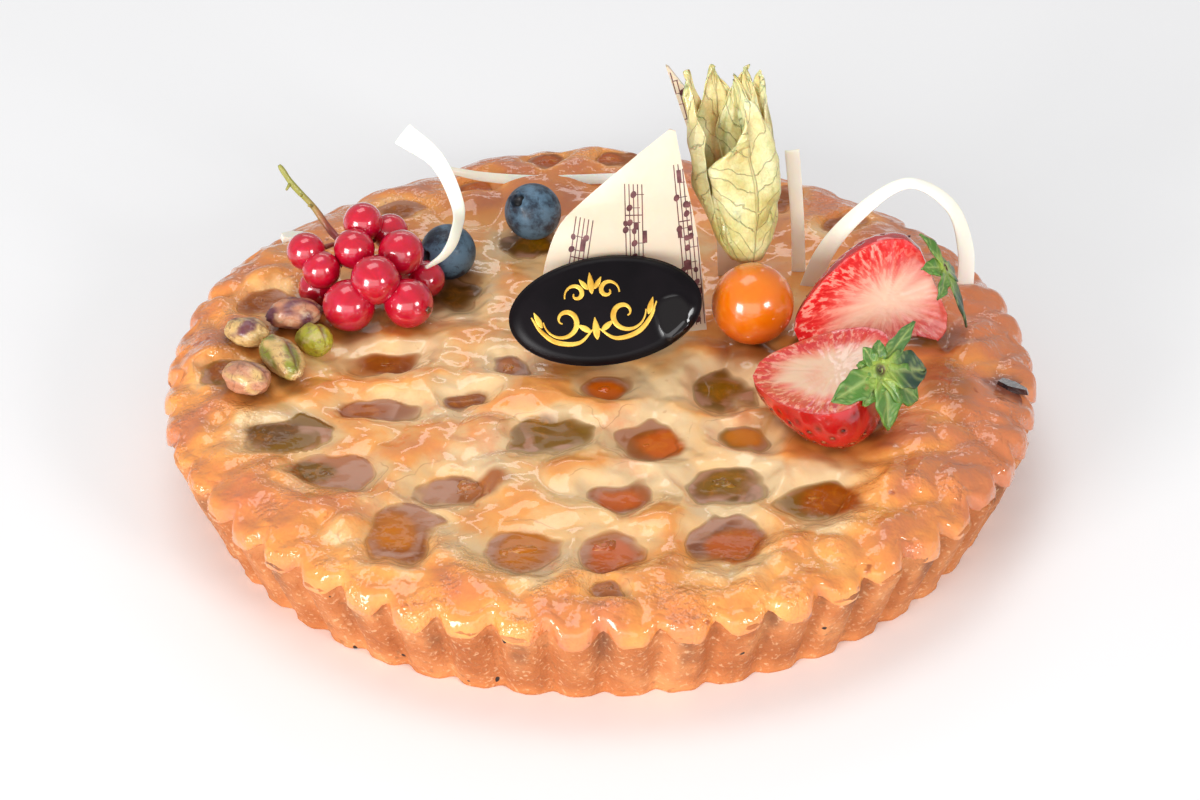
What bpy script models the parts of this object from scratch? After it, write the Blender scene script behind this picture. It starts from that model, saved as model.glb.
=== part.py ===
"""A mirabelle plum flan: a fluted pastry case, baked custard with plum halves in it, and its garnish.

Sizes and places are in millimetres and become metres where a mesh is made. The origin is the
centre of the flat base, +Z is up and -Y is the front. Angles round the tart start at the front
and grow towards +X.
"""

import math

import bmesh
import bpy
from mathutils import Matrix, Vector, noise
from mathutils.geometry import delaunay_2d_cdt

MM = 0.001
GAP = 0.3  # clearance between touching pieces
SEAT_GROWTH = 0.45  # how far a seat's cutter stands outside the piece that sits in it

# Pastry case
BASE_RADIUS = 101.0
RIM_RADIUS = 109.0
CASE_HEIGHT = 22.5
FLUTES = 54
FLUTE_DEPTH = 3.4
FLUTE_ROUNDNESS = 0.55
FLOOR_THICKNESS = 4.0
FLOOR_RADIUS = 98.0
INNER_RIM_RADIUS = 104.0
CASE_POINTS_PER_FLUTE = 5
INNER_POINTS = 72

# Custard filling
CUSTARD_LEVEL = 25.4
CUSTARD_POINTS_PER_FLUTE = 3
LIP_THICKNESS = 1.3
TOP_SPACING = 7.6
PUFF_WIDTH = 17.0
PUFF_HEIGHT = 3.2
PUFF_SEED = 4.3
SWELL_SEED = 9.1
RIM_SWELL = 1.6
RIM_SWELL_RADIUS = 91.0
RIM_SWELL_WIDTH = 11.0
EDGE_DROP = 2.0
EDGE_START = 100.0
BACK_SWELL = 3.6
BACK_SWELL_PLACE = (-8.0, 94.0)
BACK_SWELL_WIDTH = 22.0

# Plum halves
PLUM_HEIGHT = 10.5
PLUM_RISE = 2.2
HOLLOW_DEPTH = 3.4
HOLLOW_FLOOR = 0.7  # the hollow's flat floor and its brim, as shares of the plum's half size
HOLLOW_BRIM = 1.27
PLUM_SIDES = 8
PLUM_RINGS = 3

# Each plum half: x, y, length along its own axis, width across it, turn in degrees
PLUMS = (
    (-46.0, -73.6, 15.5, 20.3, 0),
    (-63.3, -48.7, 17.0, 12.6, -12),
    (-76.5, -33.6, 20.5, 13.0, 10),
    (-31.8, -54.7, 18.0, 14.6, 20),
    (-53.0, -21.0, 18.5, 9.5, -14),
    (-52.5, -1.3, 21.5, 11.7, -4),
    (-33.5, -18.0, 13.0, 9.2, 12),
    (-22.2, -4.4, 10.4, 9.4, 0),
    (-13.7, -35.6, 17.6, 13.7, 4),
    (1.0, -14.5, 12.7, 11.9, 0),
    (29.0, -13.5, 16.5, 16.5, 30),
    (32.8, -34.0, 14.5, 10.7, -18),
    (11.3, -36.7, 15.7, 15.6, 0),
    (28.5, -53.2, 18.6, 13.2, 8),
    (4.7, -60.0, 17.2, 12.0, 0),
    (50.2, -61.1, 20.5, 17.0, 14),
    (-19.3, -79.5, 18.6, 17.5, 8),
    (0.8, -78.8, 15.0, 16.5, 0),
    (25.7, -75.6, 15.2, 20.5, -12),
    (1.1, -93.4, 7.0, 6.3, 0),
    (-37.4, 32.4, 13.0, 17.8, 0),
    (-18.4, 54.5, 11.8, 10.5, 0),
    (-88.1, 26.0, 10.9, 13.0, 0),
    (-54.0, 71.8, 11.0, 9.8, 0),
    (-93.6, -6.5, 11.0, 9.8, 0),
    (-33.1, 85.2, 12.2, 8.0, 16),
    (-14.6, 96.6, 12.0, 7.4, 8),
    (3.5, 97.0, 12.0, 7.4, -2),
    (50.6, 77.6, 8.3, 13.0, -32),
    (64.5, 62.0, 10.9, 13.0, -44),
    (11.7, 70.4, 13.7, 10.8, 0),
)

# Currant truss: x, y, z and diameter of each berry, then the stem from its free tip
CURRANTS = (
    (-60.4, 36.0, 44.6, 9.5),
    (-53.8, 38.0, 40.4, 9.0),
    (-62.3, 28.0, 41.3, 9.8),
    (-50.4, 28.0, 40.1, 11.0),
    (-74.6, 28.0, 40.8, 9.2),
    (-70.6, 24.0, 37.6, 9.2),
    (-56.4, 17.0, 38.6, 11.7),
    (-63.2, 15.0, 32.4, 12.5),
    (-48.2, 16.0, 32.2, 11.8),
    (-72.4, 27.0, 30.4, 9.3),
    (-44.6, 30.0, 30.8, 9.3),
    (-55.8, 26.0, 34.6, 10.3),
)
TRUSS_STEM = (
    (-81.7, 44.0, 57.3),
    (-78.5, 43.0, 52.0),
    (-73.7, 42.0, 46.2),
    (-69.3, 39.0, 40.6),
    (-64.5, 33.0, 38.5),
    (-58.5, 25.0, 35.2),
)
STEM_TIP_RADIUS = 0.7
STEM_RADIUS = 1.2
PEDICEL_RADIUS = 0.8
CURRANT_SIDES = 8
CURRANT_RINGS = 4

# Blueberries: place, diameter and the way the crown looks
BLUEBERRIES = {
    "blueberry_back": ((-17.2, 58.8), 15.2, (-0.55, -0.45, 0.75)),
    "blueberry_left": ((-39.2, 40.6), 14.6, (-0.75, -0.6, 0.15)),
}

# Physalis: the berry, and the papery husk that stands up behind it
PHYSALIS_PLACE = (38.5, 6.6)
PHYSALIS_LIFT = 0.4
PHYSALIS_DIAMETER = 20.6
HUSK_BASE = (37.6, 20.2, 42.0)
HUSK_TOP = (31.8, 27.5, 90.5)
HUSK_LOBES = 5
HUSK_POINTS_PER_LOBE = 4
HUSK_NOTCH = 0.74
HUSK_THICKNESS = 0.7
# Share of the height, half width and half depth of the husk there
HUSK_RINGS = (
    (0.0, 3.0, 2.4),
    (0.1, 6.4, 3.4),
    (0.38, 10.6, 5.0),
    (0.62, 10.8, 5.2),
    (0.8, 9.6, 4.4),
    (1.0, 8.8, 3.2),
)

# Strawberry halves: tip, crown end, the way the cut face looks, radius and depth
STRAWBERRIES = {
    "back": ((49.6, 2.2, 28.8), (83.0, 3.6, 43.4), (0.0, -0.96, 0.28), 15.4, 12.0),
    "front": ((37.6, -22.6, 36.0), (65.0, -34.6, 42.8), (-0.18, -0.06, 0.98), 16.8, 17.0),
}
# How much wider the half gets behind its cut face, as a share of its radius
STRAWBERRY_BULGE = 0.3
STRAWBERRY_ARC_POINTS = 9
# Share of the length from the tip, and share of the radius there
STRAWBERRY_PROFILE = (
    (0.0, 0.16),
    (0.08, 0.4),
    (0.3, 0.72),
    (0.55, 0.95),
    (0.76, 1.0),
    (0.93, 0.86),
    (1.0, 0.58),
)

# Leaves of each calyx: direction in degrees, length and how far the tip bends back
CALYX_CORE = 3.2
CALYX_THICKNESS = 0.8
CALYX_POINTS_PER_LEAF = 4
CALYXES = {
    "back": (
        (84.6, 2.4, 48.2),
        (0.82, -0.14, 0.52),
        (
            (20, 9.0, 2.0),
            (80, 10.5, 1.0),
            (140, 8.0, 2.5),
            (200, 9.0, 3.0),
            (262, 17.0, 2.0),
            (316, 11.5, 1.5),
        ),
    ),
    "front": (
        (64.8, -39.2, 45.8),
        (0.52, -0.62, 0.58),
        (
            (-20, 16.0, 2.0),
            (26, 16.0, -2.0),
            (112, 7.0, -1.0),
            (186, 16.0, 1.0),
            (262, 14.0, 3.0),
            (312, 15.0, 3.0),
        ),
    ),
}

# Pistachios: x, y, length, width, turn and tilt in degrees, lift above the custard
PISTACHIOS = (
    (-77.0, 13.8, 14.0, 9.2, 8, 0, 0.0),
    (-88.0, 5.4, 11.4, 8.6, -16, 6, 0.0),
    (-78.4, -6.0, 17.4, 9.0, -58, 4, 0.6),
    (-71.4, 4.8, 10.5, 9.0, -50, 0, 0.0),
    (-86.0, -14.6, 13.0, 9.4, -28, 0, 0.0),
)

# White and dark chocolate pieces
SHEET_THICKNESS = 1.2
FAN_LEFT_EDGE = (
    (-14.3, 13.0, 25.0),
    (-13.9, 13.0, 40.0),
    (-12.1, 13.0, 49.0),
    (-9.0, 14.0, 56.0),
    (-3.7, 14.0, 62.0),
    (6.2, 15.0, 70.7),
    (17.9, 17.0, 80.2),
)
FAN_RIGHT_EDGE = (
    (27.3, 11.0, 25.0),
    (25.4, 12.0, 47.5),
    (23.6, 13.0, 58.9),
    (21.4, 14.0, 69.1),
    (19.2, 17.0, 79.8),
)
FAN_BULGE = 2.4
FAN_ROWS = 8
FAN_COLUMNS = 5
SHARD_LEFT_EDGE = (
    (31.5, 37.0, 24.0),
    (30.5, 36.5, 42.0),
    (28.0, 36.0, 55.0),
    (23.2, 36.0, 70.0),
    (17.5, 36.0, 88.0),
)
SHARD_RIGHT_EDGE = (
    (41.0, 37.0, 24.0),
    (40.0, 36.5, 42.0),
    (37.5, 36.0, 55.0),
    (30.5, 36.0, 70.0),
    (18.3, 36.0, 87.6),
)
SHARD_ROWS = 6
SHARD_COLUMNS = 2
PLAQUE_CENTRE = (1.6, -0.9, 39.6)
PLAQUE_LENGTH = 48.0
PLAQUE_WIDTH = 27.0
PLAQUE_THICKNESS = 3.2
PLAQUE_LEAN = 50.0
PLAQUE_ROLL = 8.0
PLAQUE_SIDES = 28
PLAQUE_BULGE = 0.5

# Curls: points of the ribbon's middle line with its width, and the way its flat side looks there
CURL_THICKNESS = 1.2
CURLS = {
    "curl_left": (
        (
            (-50.8, 58.0, 58.7, 6.8),
            (-41.6, 52.0, 53.5, 5.0),
            (-36.1, 42.0, 45.6, 3.8),
            (-36.6, 33.0, 42.0, 3.6),
            (-39.4, 28.8, 38.6, 3.0),
            (-44.2, 27.0, 36.0, 1.4),
        ),
        (
            (-0.3, -0.6, 0.75),
            (-0.4, -0.8, 0.5),
            (0.2, -0.95, 0.2),
            (0.5, -0.85, 0.2),
            (0.3, -0.9, -0.3),
            (0.2, -0.9, -0.4),
        ),
    ),
    "curl_back": (
        (
            (-41.0, 82.0, 34.6, 2.2),
            (-30.4, 84.0, 31.0, 3.0),
            (-16.0, 84.6, 29.4, 3.2),
            (-2.0, 83.0, 30.4, 3.2),
            (7.0, 80.0, 32.4, 3.0),
        ),
        ((0.0, -0.85, 0.5),) * 5,
    ),
    "curl_right": (
        (
            (54.6, 30.0, 25.6, 5.6),
            (58.0, 30.0, 36.3, 5.2),
            (64.1, 29.0, 46.4, 4.6),
            (74.1, 28.0, 56.6, 4.0),
            (81.6, 27.4, 58.0, 3.8),
            (90.2, 27.0, 51.0, 4.2),
            (94.2, 26.6, 39.0, 4.8),
            (94.8, 27.0, 25.6, 4.8),
        ),
        (
            (-0.1, -0.95, 0.2),
            (-0.4, -0.85, 0.3),
            (-0.5, -0.75, 0.45),
            (-0.3, -0.45, 0.85),
            (0.1, -0.4, 0.9),
            (0.6, -0.75, 0.4),
            (0.3, -0.95, 0.1),
            (0.1, -1.0, 0.0),
        ),
    ),
    "curl_upright": (
        ((52.6, 37.0, 25.0, 4.0), (51.8, 38.0, 42.0, 3.8), (50.0, 40.0, 61.6, 4.2)),
        ((0.0, -1.0, 0.1), (0.0, -1.0, 0.1), (0.0, -1.0, 0.2)),
    ),
}
CURL_STEPS = 3

# Small bits
CHIP_PLACE = (-82.0, 60.0)
CHIP_SIZE = (7.0, 4.6, 1.4)
CHIP_TURN = 24.0
CHAR_PLACE = (100.6, -18.6)
CHAR_SIZE = (8.4, 3.4, 1.6)
CHAR_TURN = -32.0


class Skin:
    """Points and faces of one closed surface, gathered ring by ring."""

    def __init__(self):
        self.points = []
        self.faces = []

    def add(self, points):
        """Adds points and returns their numbers."""
        start = len(self.points)
        self.points.extend(Vector(point) for point in points)
        return list(range(start, len(self.points)))

    def join(self, lower, upper):
        """Triangles between two closed rings that start at the same angle; their counts may differ."""
        i = 0
        j = 0
        while i < len(lower) or j < len(upper):
            a = lower[i % len(lower)]
            b = upper[j % len(upper)]
            lower_is_next = (i + 0.5) * len(upper) <= (j + 0.5) * len(lower)
            if j == len(upper) or (i < len(lower) and lower_is_next):
                i += 1
                self.faces.append((a, lower[i % len(lower)], b))
            else:
                j += 1
                self.faces.append((a, upper[j % len(upper)], b))

    def close(self, ring, centre, upwards=True):
        """A fan of triangles from a ring to a centre point."""
        middle = self.add([centre])[0]
        for i, a in enumerate(ring):
            b = ring[(i + 1) % len(ring)]
            self.faces.append((a, b, middle) if upwards else (b, a, middle))

    def stack(self, rings, bottom, top):
        """A closed body from rings, lowest first, with a pole point at each end."""
        numbers = [self.add(ring) for ring in rings]
        self.close(numbers[0], bottom, upwards=False)
        for lower, upper in zip(numbers, numbers[1:]):
            self.join(lower, upper)
        self.close(numbers[-1], top)

    def moved(self, matrix):
        self.points = [matrix @ point for point in self.points]
        return self


def make_object(name, skin, colour, roughness, sharp_angle=40.0):
    """An object with its own material from a skin in millimetres."""
    mesh = bpy.data.meshes.new(name)
    mesh.from_pydata([point * MM for point in skin.points], [], skin.faces)
    work = bmesh.new()
    work.from_mesh(mesh)
    bmesh.ops.recalc_face_normals(work, faces=work.faces)
    work.to_mesh(mesh)
    work.free()
    mesh.shade_smooth()
    mesh.set_sharp_from_angle(angle=math.radians(sharp_angle))
    obj = bpy.data.objects.new(name, mesh)
    bpy.context.scene.collection.objects.link(obj)
    material = bpy.data.materials.new(name)
    material.use_nodes = True
    shader = material.node_tree.nodes["Principled BSDF"]
    shader.inputs["Base Color"].default_value = (*colour, 1.0)
    shader.inputs["Roughness"].default_value = roughness
    mesh.materials.append(material)
    return obj


def ring(count, radius_at, height):
    """Points round the tart's axis from the front centre, counter-clockwise from above."""
    points = []
    for i in range(count):
        angle = math.tau * i / count
        radius = radius_at(angle)
        points.append((radius * math.sin(angle), -radius * math.cos(angle), height))
    return points


def fluted(radius, depth=FLUTE_DEPTH):
    """Radius as a function of the angle for broad round lobes with narrow valleys."""

    def radius_at(angle):
        lobe = abs(math.sin(angle * FLUTES / 2)) ** FLUTE_ROUNDNESS
        return radius - depth * (1 - lobe)

    return radius_at


def plain(radius):
    return lambda angle: radius


def ease(low, high, value):
    """0 below low, 1 above high, and a smooth rise between."""
    share = min(max((value - low) / (high - low), 0.0), 1.0)
    return share * share * (3 - 2 * share)


def smooth_path(controls, steps):
    """Points on a smooth curve through the controls, which may have any number of values each."""
    points = [Vector(control) for control in controls]
    ends = [points[0] * 2 - points[1], *points, points[-1] * 2 - points[-2]]
    path = []
    for before, start, end, after in zip(ends, ends[1:], ends[2:], ends[3:]):
        for step in range(steps):
            t = step / steps
            path.append(
                0.5 * (2 * start + (end - before) * t + (2 * before - 5 * start + 4 * end - after) * t ** 2
                       + (3 * start - before - 3 * end + after) * t ** 3)
            )
    return [*path, points[-1]]


def plum_distance(x, y, plum):
    """Distance from a plum's middle, as a share of its half size in that direction."""
    centre_x, centre_y, length, width, turn = plum
    angle = math.radians(turn)
    dx = x - centre_x
    dy = y - centre_y
    along = dx * math.cos(angle) + dy * math.sin(angle)
    across = dy * math.cos(angle) - dx * math.sin(angle)
    return math.hypot(along / (length / 2), across / (width / 2))


def custard_height(x, y):
    """Height of the baked top: puffs between creases, a swollen rim, and a hollow round each plum."""
    radius = math.hypot(x, y)
    crumple = abs(noise.noise(Vector((x / PUFF_WIDTH, y / PUFF_WIDTH, PUFF_SEED))))
    swell = noise.noise(Vector((x / (3 * PUFF_WIDTH), y / (3 * PUFF_WIDTH), SWELL_SEED)))
    height = CUSTARD_LEVEL + PUFF_HEIGHT * crumple + swell
    height += RIM_SWELL * math.exp(-(((radius - RIM_SWELL_RADIUS) / RIM_SWELL_WIDTH) ** 2))
    back_x, back_y = BACK_SWELL_PLACE
    height += BACK_SWELL * math.exp(-((math.hypot(x - back_x, y - back_y) / BACK_SWELL_WIDTH) ** 2))
    height -= EDGE_DROP * ease(EDGE_START, RIM_RADIUS, radius)
    for plum in PLUMS:
        height -= HOLLOW_DEPTH * (1 - ease(HOLLOW_FLOOR, HOLLOW_BRIM, plum_distance(x, y, plum)))
    return max(height, CASE_HEIGHT + 1.0)


def ball(diameter, sides, rings, bumps=0.0, seed=0.0):
    """A round body about its own middle, with optional bumps."""
    radius = diameter / 2

    def place(theta, phi):
        way = Vector((math.sin(phi) * math.cos(theta), math.sin(phi) * math.sin(theta), -math.cos(phi)))
        bump = 1 + bumps * noise.noise(way * 1.7 + Vector((seed, 0, 0)))
        return way * radius * bump

    skin = Skin()
    rows = [
        [place(math.tau * i / sides, math.pi * (row + 1) / (rings + 1)) for i in range(sides)]
        for row in range(rings)
    ]
    skin.stack(rows, place(0, 0), place(0, math.pi))
    return skin


def turned(profile, sides, bottom, top):
    """A body turned about Z from (radius, height) pairs, lowest first, with end points on the axis."""
    skin = Skin()
    rings = []
    for radius, height in profile:
        rings.append([
            (radius * math.cos(math.tau * i / sides), radius * math.sin(math.tau * i / sides), height)
            for i in range(sides)
        ])
    skin.stack(rings, (0, 0, bottom), (0, 0, top))
    return skin


def aim(place, way):
    """A matrix that carries the +Z axis to a direction and the middle to a place."""
    turn = Vector((0, 0, 1)).rotation_difference(Vector(way).normalized())
    return Matrix.Translation(place) @ turn.to_matrix().to_4x4()


def sheet(rows, thickness):
    """A thin closed sheet on a grid of points, with both faces split into triangles alike."""
    height = len(rows)
    width = len(rows[0])

    def normal(i, j):
        up = rows[min(i + 1, height - 1)][j] - rows[max(i - 1, 0)][j]
        along = rows[i][min(j + 1, width - 1)] - rows[i][max(j - 1, 0)]
        return along.cross(up).normalized()

    skin = Skin()
    front = []
    back = []
    for i in range(height):
        offsets = [normal(i, j) * (thickness / 2) for j in range(width)]
        front.append(skin.add([point + offset for point, offset in zip(rows[i], offsets)]))
        back.append(skin.add([point - offset for point, offset in zip(rows[i], offsets)]))
    for i in range(height - 1):
        for j in range(width - 1):
            for side in (front, back):
                a, b = side[i][j], side[i][j + 1]
                c, d = side[i + 1][j + 1], side[i + 1][j]
                skin.faces.extend([(a, b, c), (a, c, d)])
    rim = [(0, j) for j in range(width)] + [(i, width - 1) for i in range(1, height)]
    rim += [(height - 1, j) for j in range(width - 2, -1, -1)] + [(i, 0) for i in range(height - 2, 0, -1)]
    for (i, j), (k, m) in zip(rim, rim[1:] + rim[:1]):
        a, b = front[i][j], front[k][m]
        c, d = back[k][m], back[i][j]
        skin.faces.extend([(a, b, c), (a, c, d)])
    return skin


def tube(path, radii, sides):
    """A round rod along a path, with a point at each end."""
    skin = Skin()
    rings = []
    side = Vector((0.3, 1.0, 0.2))
    for i, point in enumerate(path):
        way = (path[min(i + 1, len(path) - 1)] - path[max(i - 1, 0)]).normalized()
        side = (side - way * side.dot(way)).normalized()
        other = way.cross(side)
        angles = [math.tau * k / sides for k in range(sides)]
        rings.append([point + (side * math.cos(a) + other * math.sin(a)) * radii[i] for a in angles])
    skin.stack(rings, path[0], path[-1])
    return skin


def pastry_case():
    """The fluted short-crust shell, open at the top."""
    outer_count = FLUTES * CASE_POINTS_PER_FLUTE
    skin = Skin()
    foot = skin.add(ring(outer_count, fluted(BASE_RADIUS), 0.0))
    rim = skin.add(ring(outer_count, fluted(RIM_RADIUS), CASE_HEIGHT))
    inner_rim = skin.add(ring(INNER_POINTS, plain(INNER_RIM_RADIUS), CASE_HEIGHT))
    floor = skin.add(ring(INNER_POINTS, plain(FLOOR_RADIUS), FLOOR_THICKNESS))
    skin.close(foot, (0, 0, 0), upwards=False)
    skin.join(foot, rim)
    skin.join(rim, inner_rim)
    skin.join(inner_rim, floor)
    skin.close(floor, (0, 0, FLOOR_THICKNESS))
    return make_object("pastry_case", skin, (0.66, 0.33, 0.13), 0.6)


def custard_filling():
    """The baked custard: a plug inside the case whose glazed lip laps over the rim."""
    count = FLUTES * CUSTARD_POINTS_PER_FLUTE
    lip_bottom = CASE_HEIGHT + GAP
    skin = Skin()
    bottom = skin.add(ring(INNER_POINTS, plain(FLOOR_RADIUS - GAP), FLOOR_THICKNESS + GAP))
    neck = skin.add(ring(INNER_POINTS, plain(INNER_RIM_RADIUS - GAP), lip_bottom))
    under = skin.add(ring(count, fluted(RIM_RADIUS - 1.2), lip_bottom))
    lip = skin.add(ring(count, fluted(RIM_RADIUS + 0.4), lip_bottom + LIP_THICKNESS))
    skin.close(bottom, (0, 0, FLOOR_THICKNESS + GAP), upwards=False)
    skin.join(bottom, neck)
    skin.join(neck, under)
    skin.join(under, lip)
    shoulder_points = [
        (x, y, max(custard_height(x, y), lip_bottom + LIP_THICKNESS + 0.4))
        for x, y, _ in ring(count, fluted(RIM_RADIUS - 1.4, 0.8 * FLUTE_DEPTH), 0.0)
    ]
    shoulder = skin.add(shoulder_points)
    skin.join(lip, shoulder)
    add_custard_top(skin, shoulder, shoulder_points)
    return make_object("custard_filling", skin, (0.80, 0.52, 0.24), 0.25)


def add_custard_top(skin, edge, edge_points):
    """The uneven top, on an even net of triangles inside the edge ring."""
    flat = [Vector((x, y)) for x, y, _ in edge_points]
    row_spacing = TOP_SPACING * math.sqrt(3) / 2
    rows = int(RIM_RADIUS / row_spacing)
    for row in range(-rows, rows + 1):
        for column in range(-rows, rows + 1):
            x = (column + 0.5 * (row % 2)) * TOP_SPACING
            y = row * row_spacing
            if math.hypot(x, y) < RIM_RADIUS - FLUTE_DEPTH - 0.6 * TOP_SPACING:
                flat.append(Vector((x, y)))
    outline = list(range(len(edge)))
    points, _, faces, sources, _, _ = delaunay_2d_cdt(flat, [], [outline], 1, 1e-6)
    numbers = []
    for point, source in zip(points, sources):
        if source and source[0] < len(edge):
            numbers.append(edge[source[0]])
        else:
            numbers.extend(skin.add([(point.x, point.y, custard_height(point.x, point.y))]))
    skin.faces.extend(tuple(numbers[corner] for corner in face) for face in faces)


def plum_halves():
    """Cooked plum halves, each sunk in the custard with its back showing in a hollow."""
    halves = []
    for number, plum in enumerate(PLUMS, start=1):
        x, y, length, width, turn = plum
        height = min(PLUM_HEIGHT, 0.95 * width)
        top = custard_height(x, y) + PLUM_RISE
        skin = ball(1.0, PLUM_SIDES, PLUM_RINGS, bumps=0.12, seed=number * 3.7)
        size = Matrix.Diagonal((length, width, height, 1.0))
        place = Matrix.Translation((x, y, top - height / 2))
        skin.moved(place @ Matrix.Rotation(math.radians(turn), 4, "Z") @ size)
        halves.append(make_object(f"mirabelle_{number:02d}", skin, (0.52, 0.25, 0.03), 0.2))
    return halves


def joined(name, parts, colour, roughness):
    """One body from overlapping parts, by a Boolean union of the rest to the first."""
    first, *rest = [make_object(f"{name}_part", part, colour, roughness) for part in parts]
    group = bpy.data.collections.new(f"{name}_parts")
    for obj in rest:
        bpy.context.scene.collection.objects.unlink(obj)
        group.objects.link(obj)
    bpy.context.scene.collection.children.link(group)
    union = first.modifiers.new("union", "BOOLEAN")
    union.operation = "UNION"
    union.operand_type = "COLLECTION"
    union.collection = group
    bpy.context.view_layer.update()
    graph = bpy.context.evaluated_depsgraph_get()
    mesh = bpy.data.meshes.new_from_object(first.evaluated_get(graph), depsgraph=graph)
    mesh.name = name
    first.modifiers.clear()
    first.data = mesh
    first.name = name
    for obj in rest:
        bpy.data.objects.remove(obj)
    bpy.data.collections.remove(group)
    mesh.shade_smooth()
    mesh.set_sharp_from_angle(angle=math.radians(40.0))
    return first


def currant_truss():
    """Twelve currants on one stem, whose free end stands up at the left."""
    path = smooth_path(TRUSS_STEM, 2)
    last = len(path) - 1
    radii = [STEM_TIP_RADIUS + (STEM_RADIUS - STEM_TIP_RADIUS) * i / last for i in range(last + 1)]
    parts = [tube(path, radii, 6)]
    for x, y, z, diameter in CURRANTS:
        centre = Vector((x, y, z))
        parts.append(ball(diameter, CURRANT_SIDES, CURRANT_RINGS).moved(Matrix.Translation(centre)))
        nearest = min(path[last // 2:], key=lambda point: (point - centre).length)
        parts.append(tube([nearest, centre], [PEDICEL_RADIUS, PEDICEL_RADIUS], 4))
    return joined("currant_truss", parts, (0.55, 0.01, 0.03), 0.2)


def blueberries():
    """Round berries, each with a low star-shaped crown round a dimple."""
    berries = []
    for name, ((x, y), diameter, crown_way) in BLUEBERRIES.items():
        radius = diameter / 2
        profile = [(radius * math.sin(math.radians(angle)), -radius * math.cos(math.radians(angle)))
                   for angle in (30, 60, 90, 120, 148)]
        profile += [(0.34 * radius, 0.97 * radius), (0.2 * radius, 0.72 * radius)]
        skin = turned(profile, 12, -radius, 0.7 * radius)
        seat = custard_height(x, y) + 1.9
        skin.moved(aim((x, y, seat + radius), crown_way))
        berries.append(make_object(name, skin, (0.03, 0.07, 0.13), 0.5))
    return berries


def physalis_berry():
    x, y = PHYSALIS_PLACE
    skin = ball(PHYSALIS_DIAMETER, 14, 7)
    skin.moved(Matrix.Translation((x, y, custard_height(x, y) + PHYSALIS_DIAMETER / 2 + PHYSALIS_LIFT)))
    return make_object("physalis_berry", skin, (0.85, 0.28, 0.01), 0.2)


def husk_ring(share_list, inset):
    """One ring of the husk, from its share of the height at each point, set in from the outer face."""
    base = Vector(HUSK_BASE)
    top = Vector(HUSK_TOP)
    points = []
    for i, share in enumerate(share_list):
        angle = math.tau * i / len(share_list)
        half_width, half_depth = husk_half_size(share)
        pleat = 1 + 0.08 * math.cos(HUSK_LOBES * angle)
        across = math.cos(angle) * (half_width * pleat - inset)
        deep = math.sin(angle) * (half_depth * pleat - inset)
        points.append(base.lerp(top, share) + Vector((across, deep, 0)))
    return points


def husk_half_size(share):
    """Half width and half depth of the husk at a share of its height."""
    for (low, width_low, depth_low), (high, width_high, depth_high) in zip(HUSK_RINGS, HUSK_RINGS[1:]):
        if share <= high:
            t = (share - low) / (high - low)
            return width_low + (width_high - width_low) * t, depth_low + (depth_high - depth_low) * t
    return HUSK_RINGS[-1][1:]


def physalis_husk():
    """The dry papery husk: a thin pleated cup whose rim ends in pointed lobes."""
    count = HUSK_LOBES * HUSK_POINTS_PER_LOBE
    lengths = []
    for i in range(count):
        peak = abs(math.cos(math.pi * i / HUSK_POINTS_PER_LOBE))
        lobe_height = 1 - 0.08 * ((i // HUSK_POINTS_PER_LOBE) % 2)
        lengths.append(HUSK_NOTCH + (lobe_height - HUSK_NOTCH) * peak ** 1.3)
    skin = Skin()
    shares = [row[0] for row in HUSK_RINGS]
    heights = [[share * length for length in lengths] for share in shares]
    outer = [skin.add(husk_ring(row, 0.0)) for row in heights]
    inner = [skin.add(husk_ring(row, HUSK_THICKNESS)) for row in heights[1:]]
    base = Vector(HUSK_BASE)
    skin.close(outer[0], base - Vector((0, 0, 0.6)), upwards=False)
    for lower, upper in zip(outer, outer[1:]):
        skin.join(lower, upper)
    skin.join(outer[-1], inner[-1])
    for upper, lower in zip(inner[::-1], inner[-2::-1]):
        skin.join(upper, lower)
    skin.close(inner[0], base.lerp(Vector(HUSK_TOP), 0.06))
    return make_object("physalis_husk", skin, (0.56, 0.50, 0.19), 0.6)


def strawberry_half(name, tip, crown, face_way, radius, depth):
    """Half a strawberry: a rounded skin side and a flat cut face."""
    tip = Vector(tip)
    axis = Vector(crown) - tip
    out = Vector(face_way)
    out = (out - axis.normalized() * out.dot(axis.normalized())).normalized()
    side = axis.normalized().cross(out)
    skin = Skin()
    rows = []
    for share, fullness in smooth_path(STRAWBERRY_PROFILE, 2):
        arc = []
        for i in range(STRAWBERRY_ARC_POINTS):
            angle = math.pi * i / (STRAWBERRY_ARC_POINTS - 1)
            bulge = 1 + STRAWBERRY_BULGE * math.sin(angle)
            offset = side * math.cos(angle) * bulge * radius - out * math.sin(angle) * depth
            arc.append(tip + axis * share + offset * fullness)
        rows.append(skin.add(arc))
    for lower, upper in zip(rows, rows[1:]):
        skin.join(lower, upper)
    skin.close(rows[0], tip - axis * 0.015 - out * 0.5, upwards=False)
    skin.close(rows[-1], Vector(crown) - axis * 0.02 - out * 0.3 * depth)
    return make_object(f"strawberry_half_{name}", skin, (0.72, 0.03, 0.03), 0.3, sharp_angle=50.0)


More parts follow.
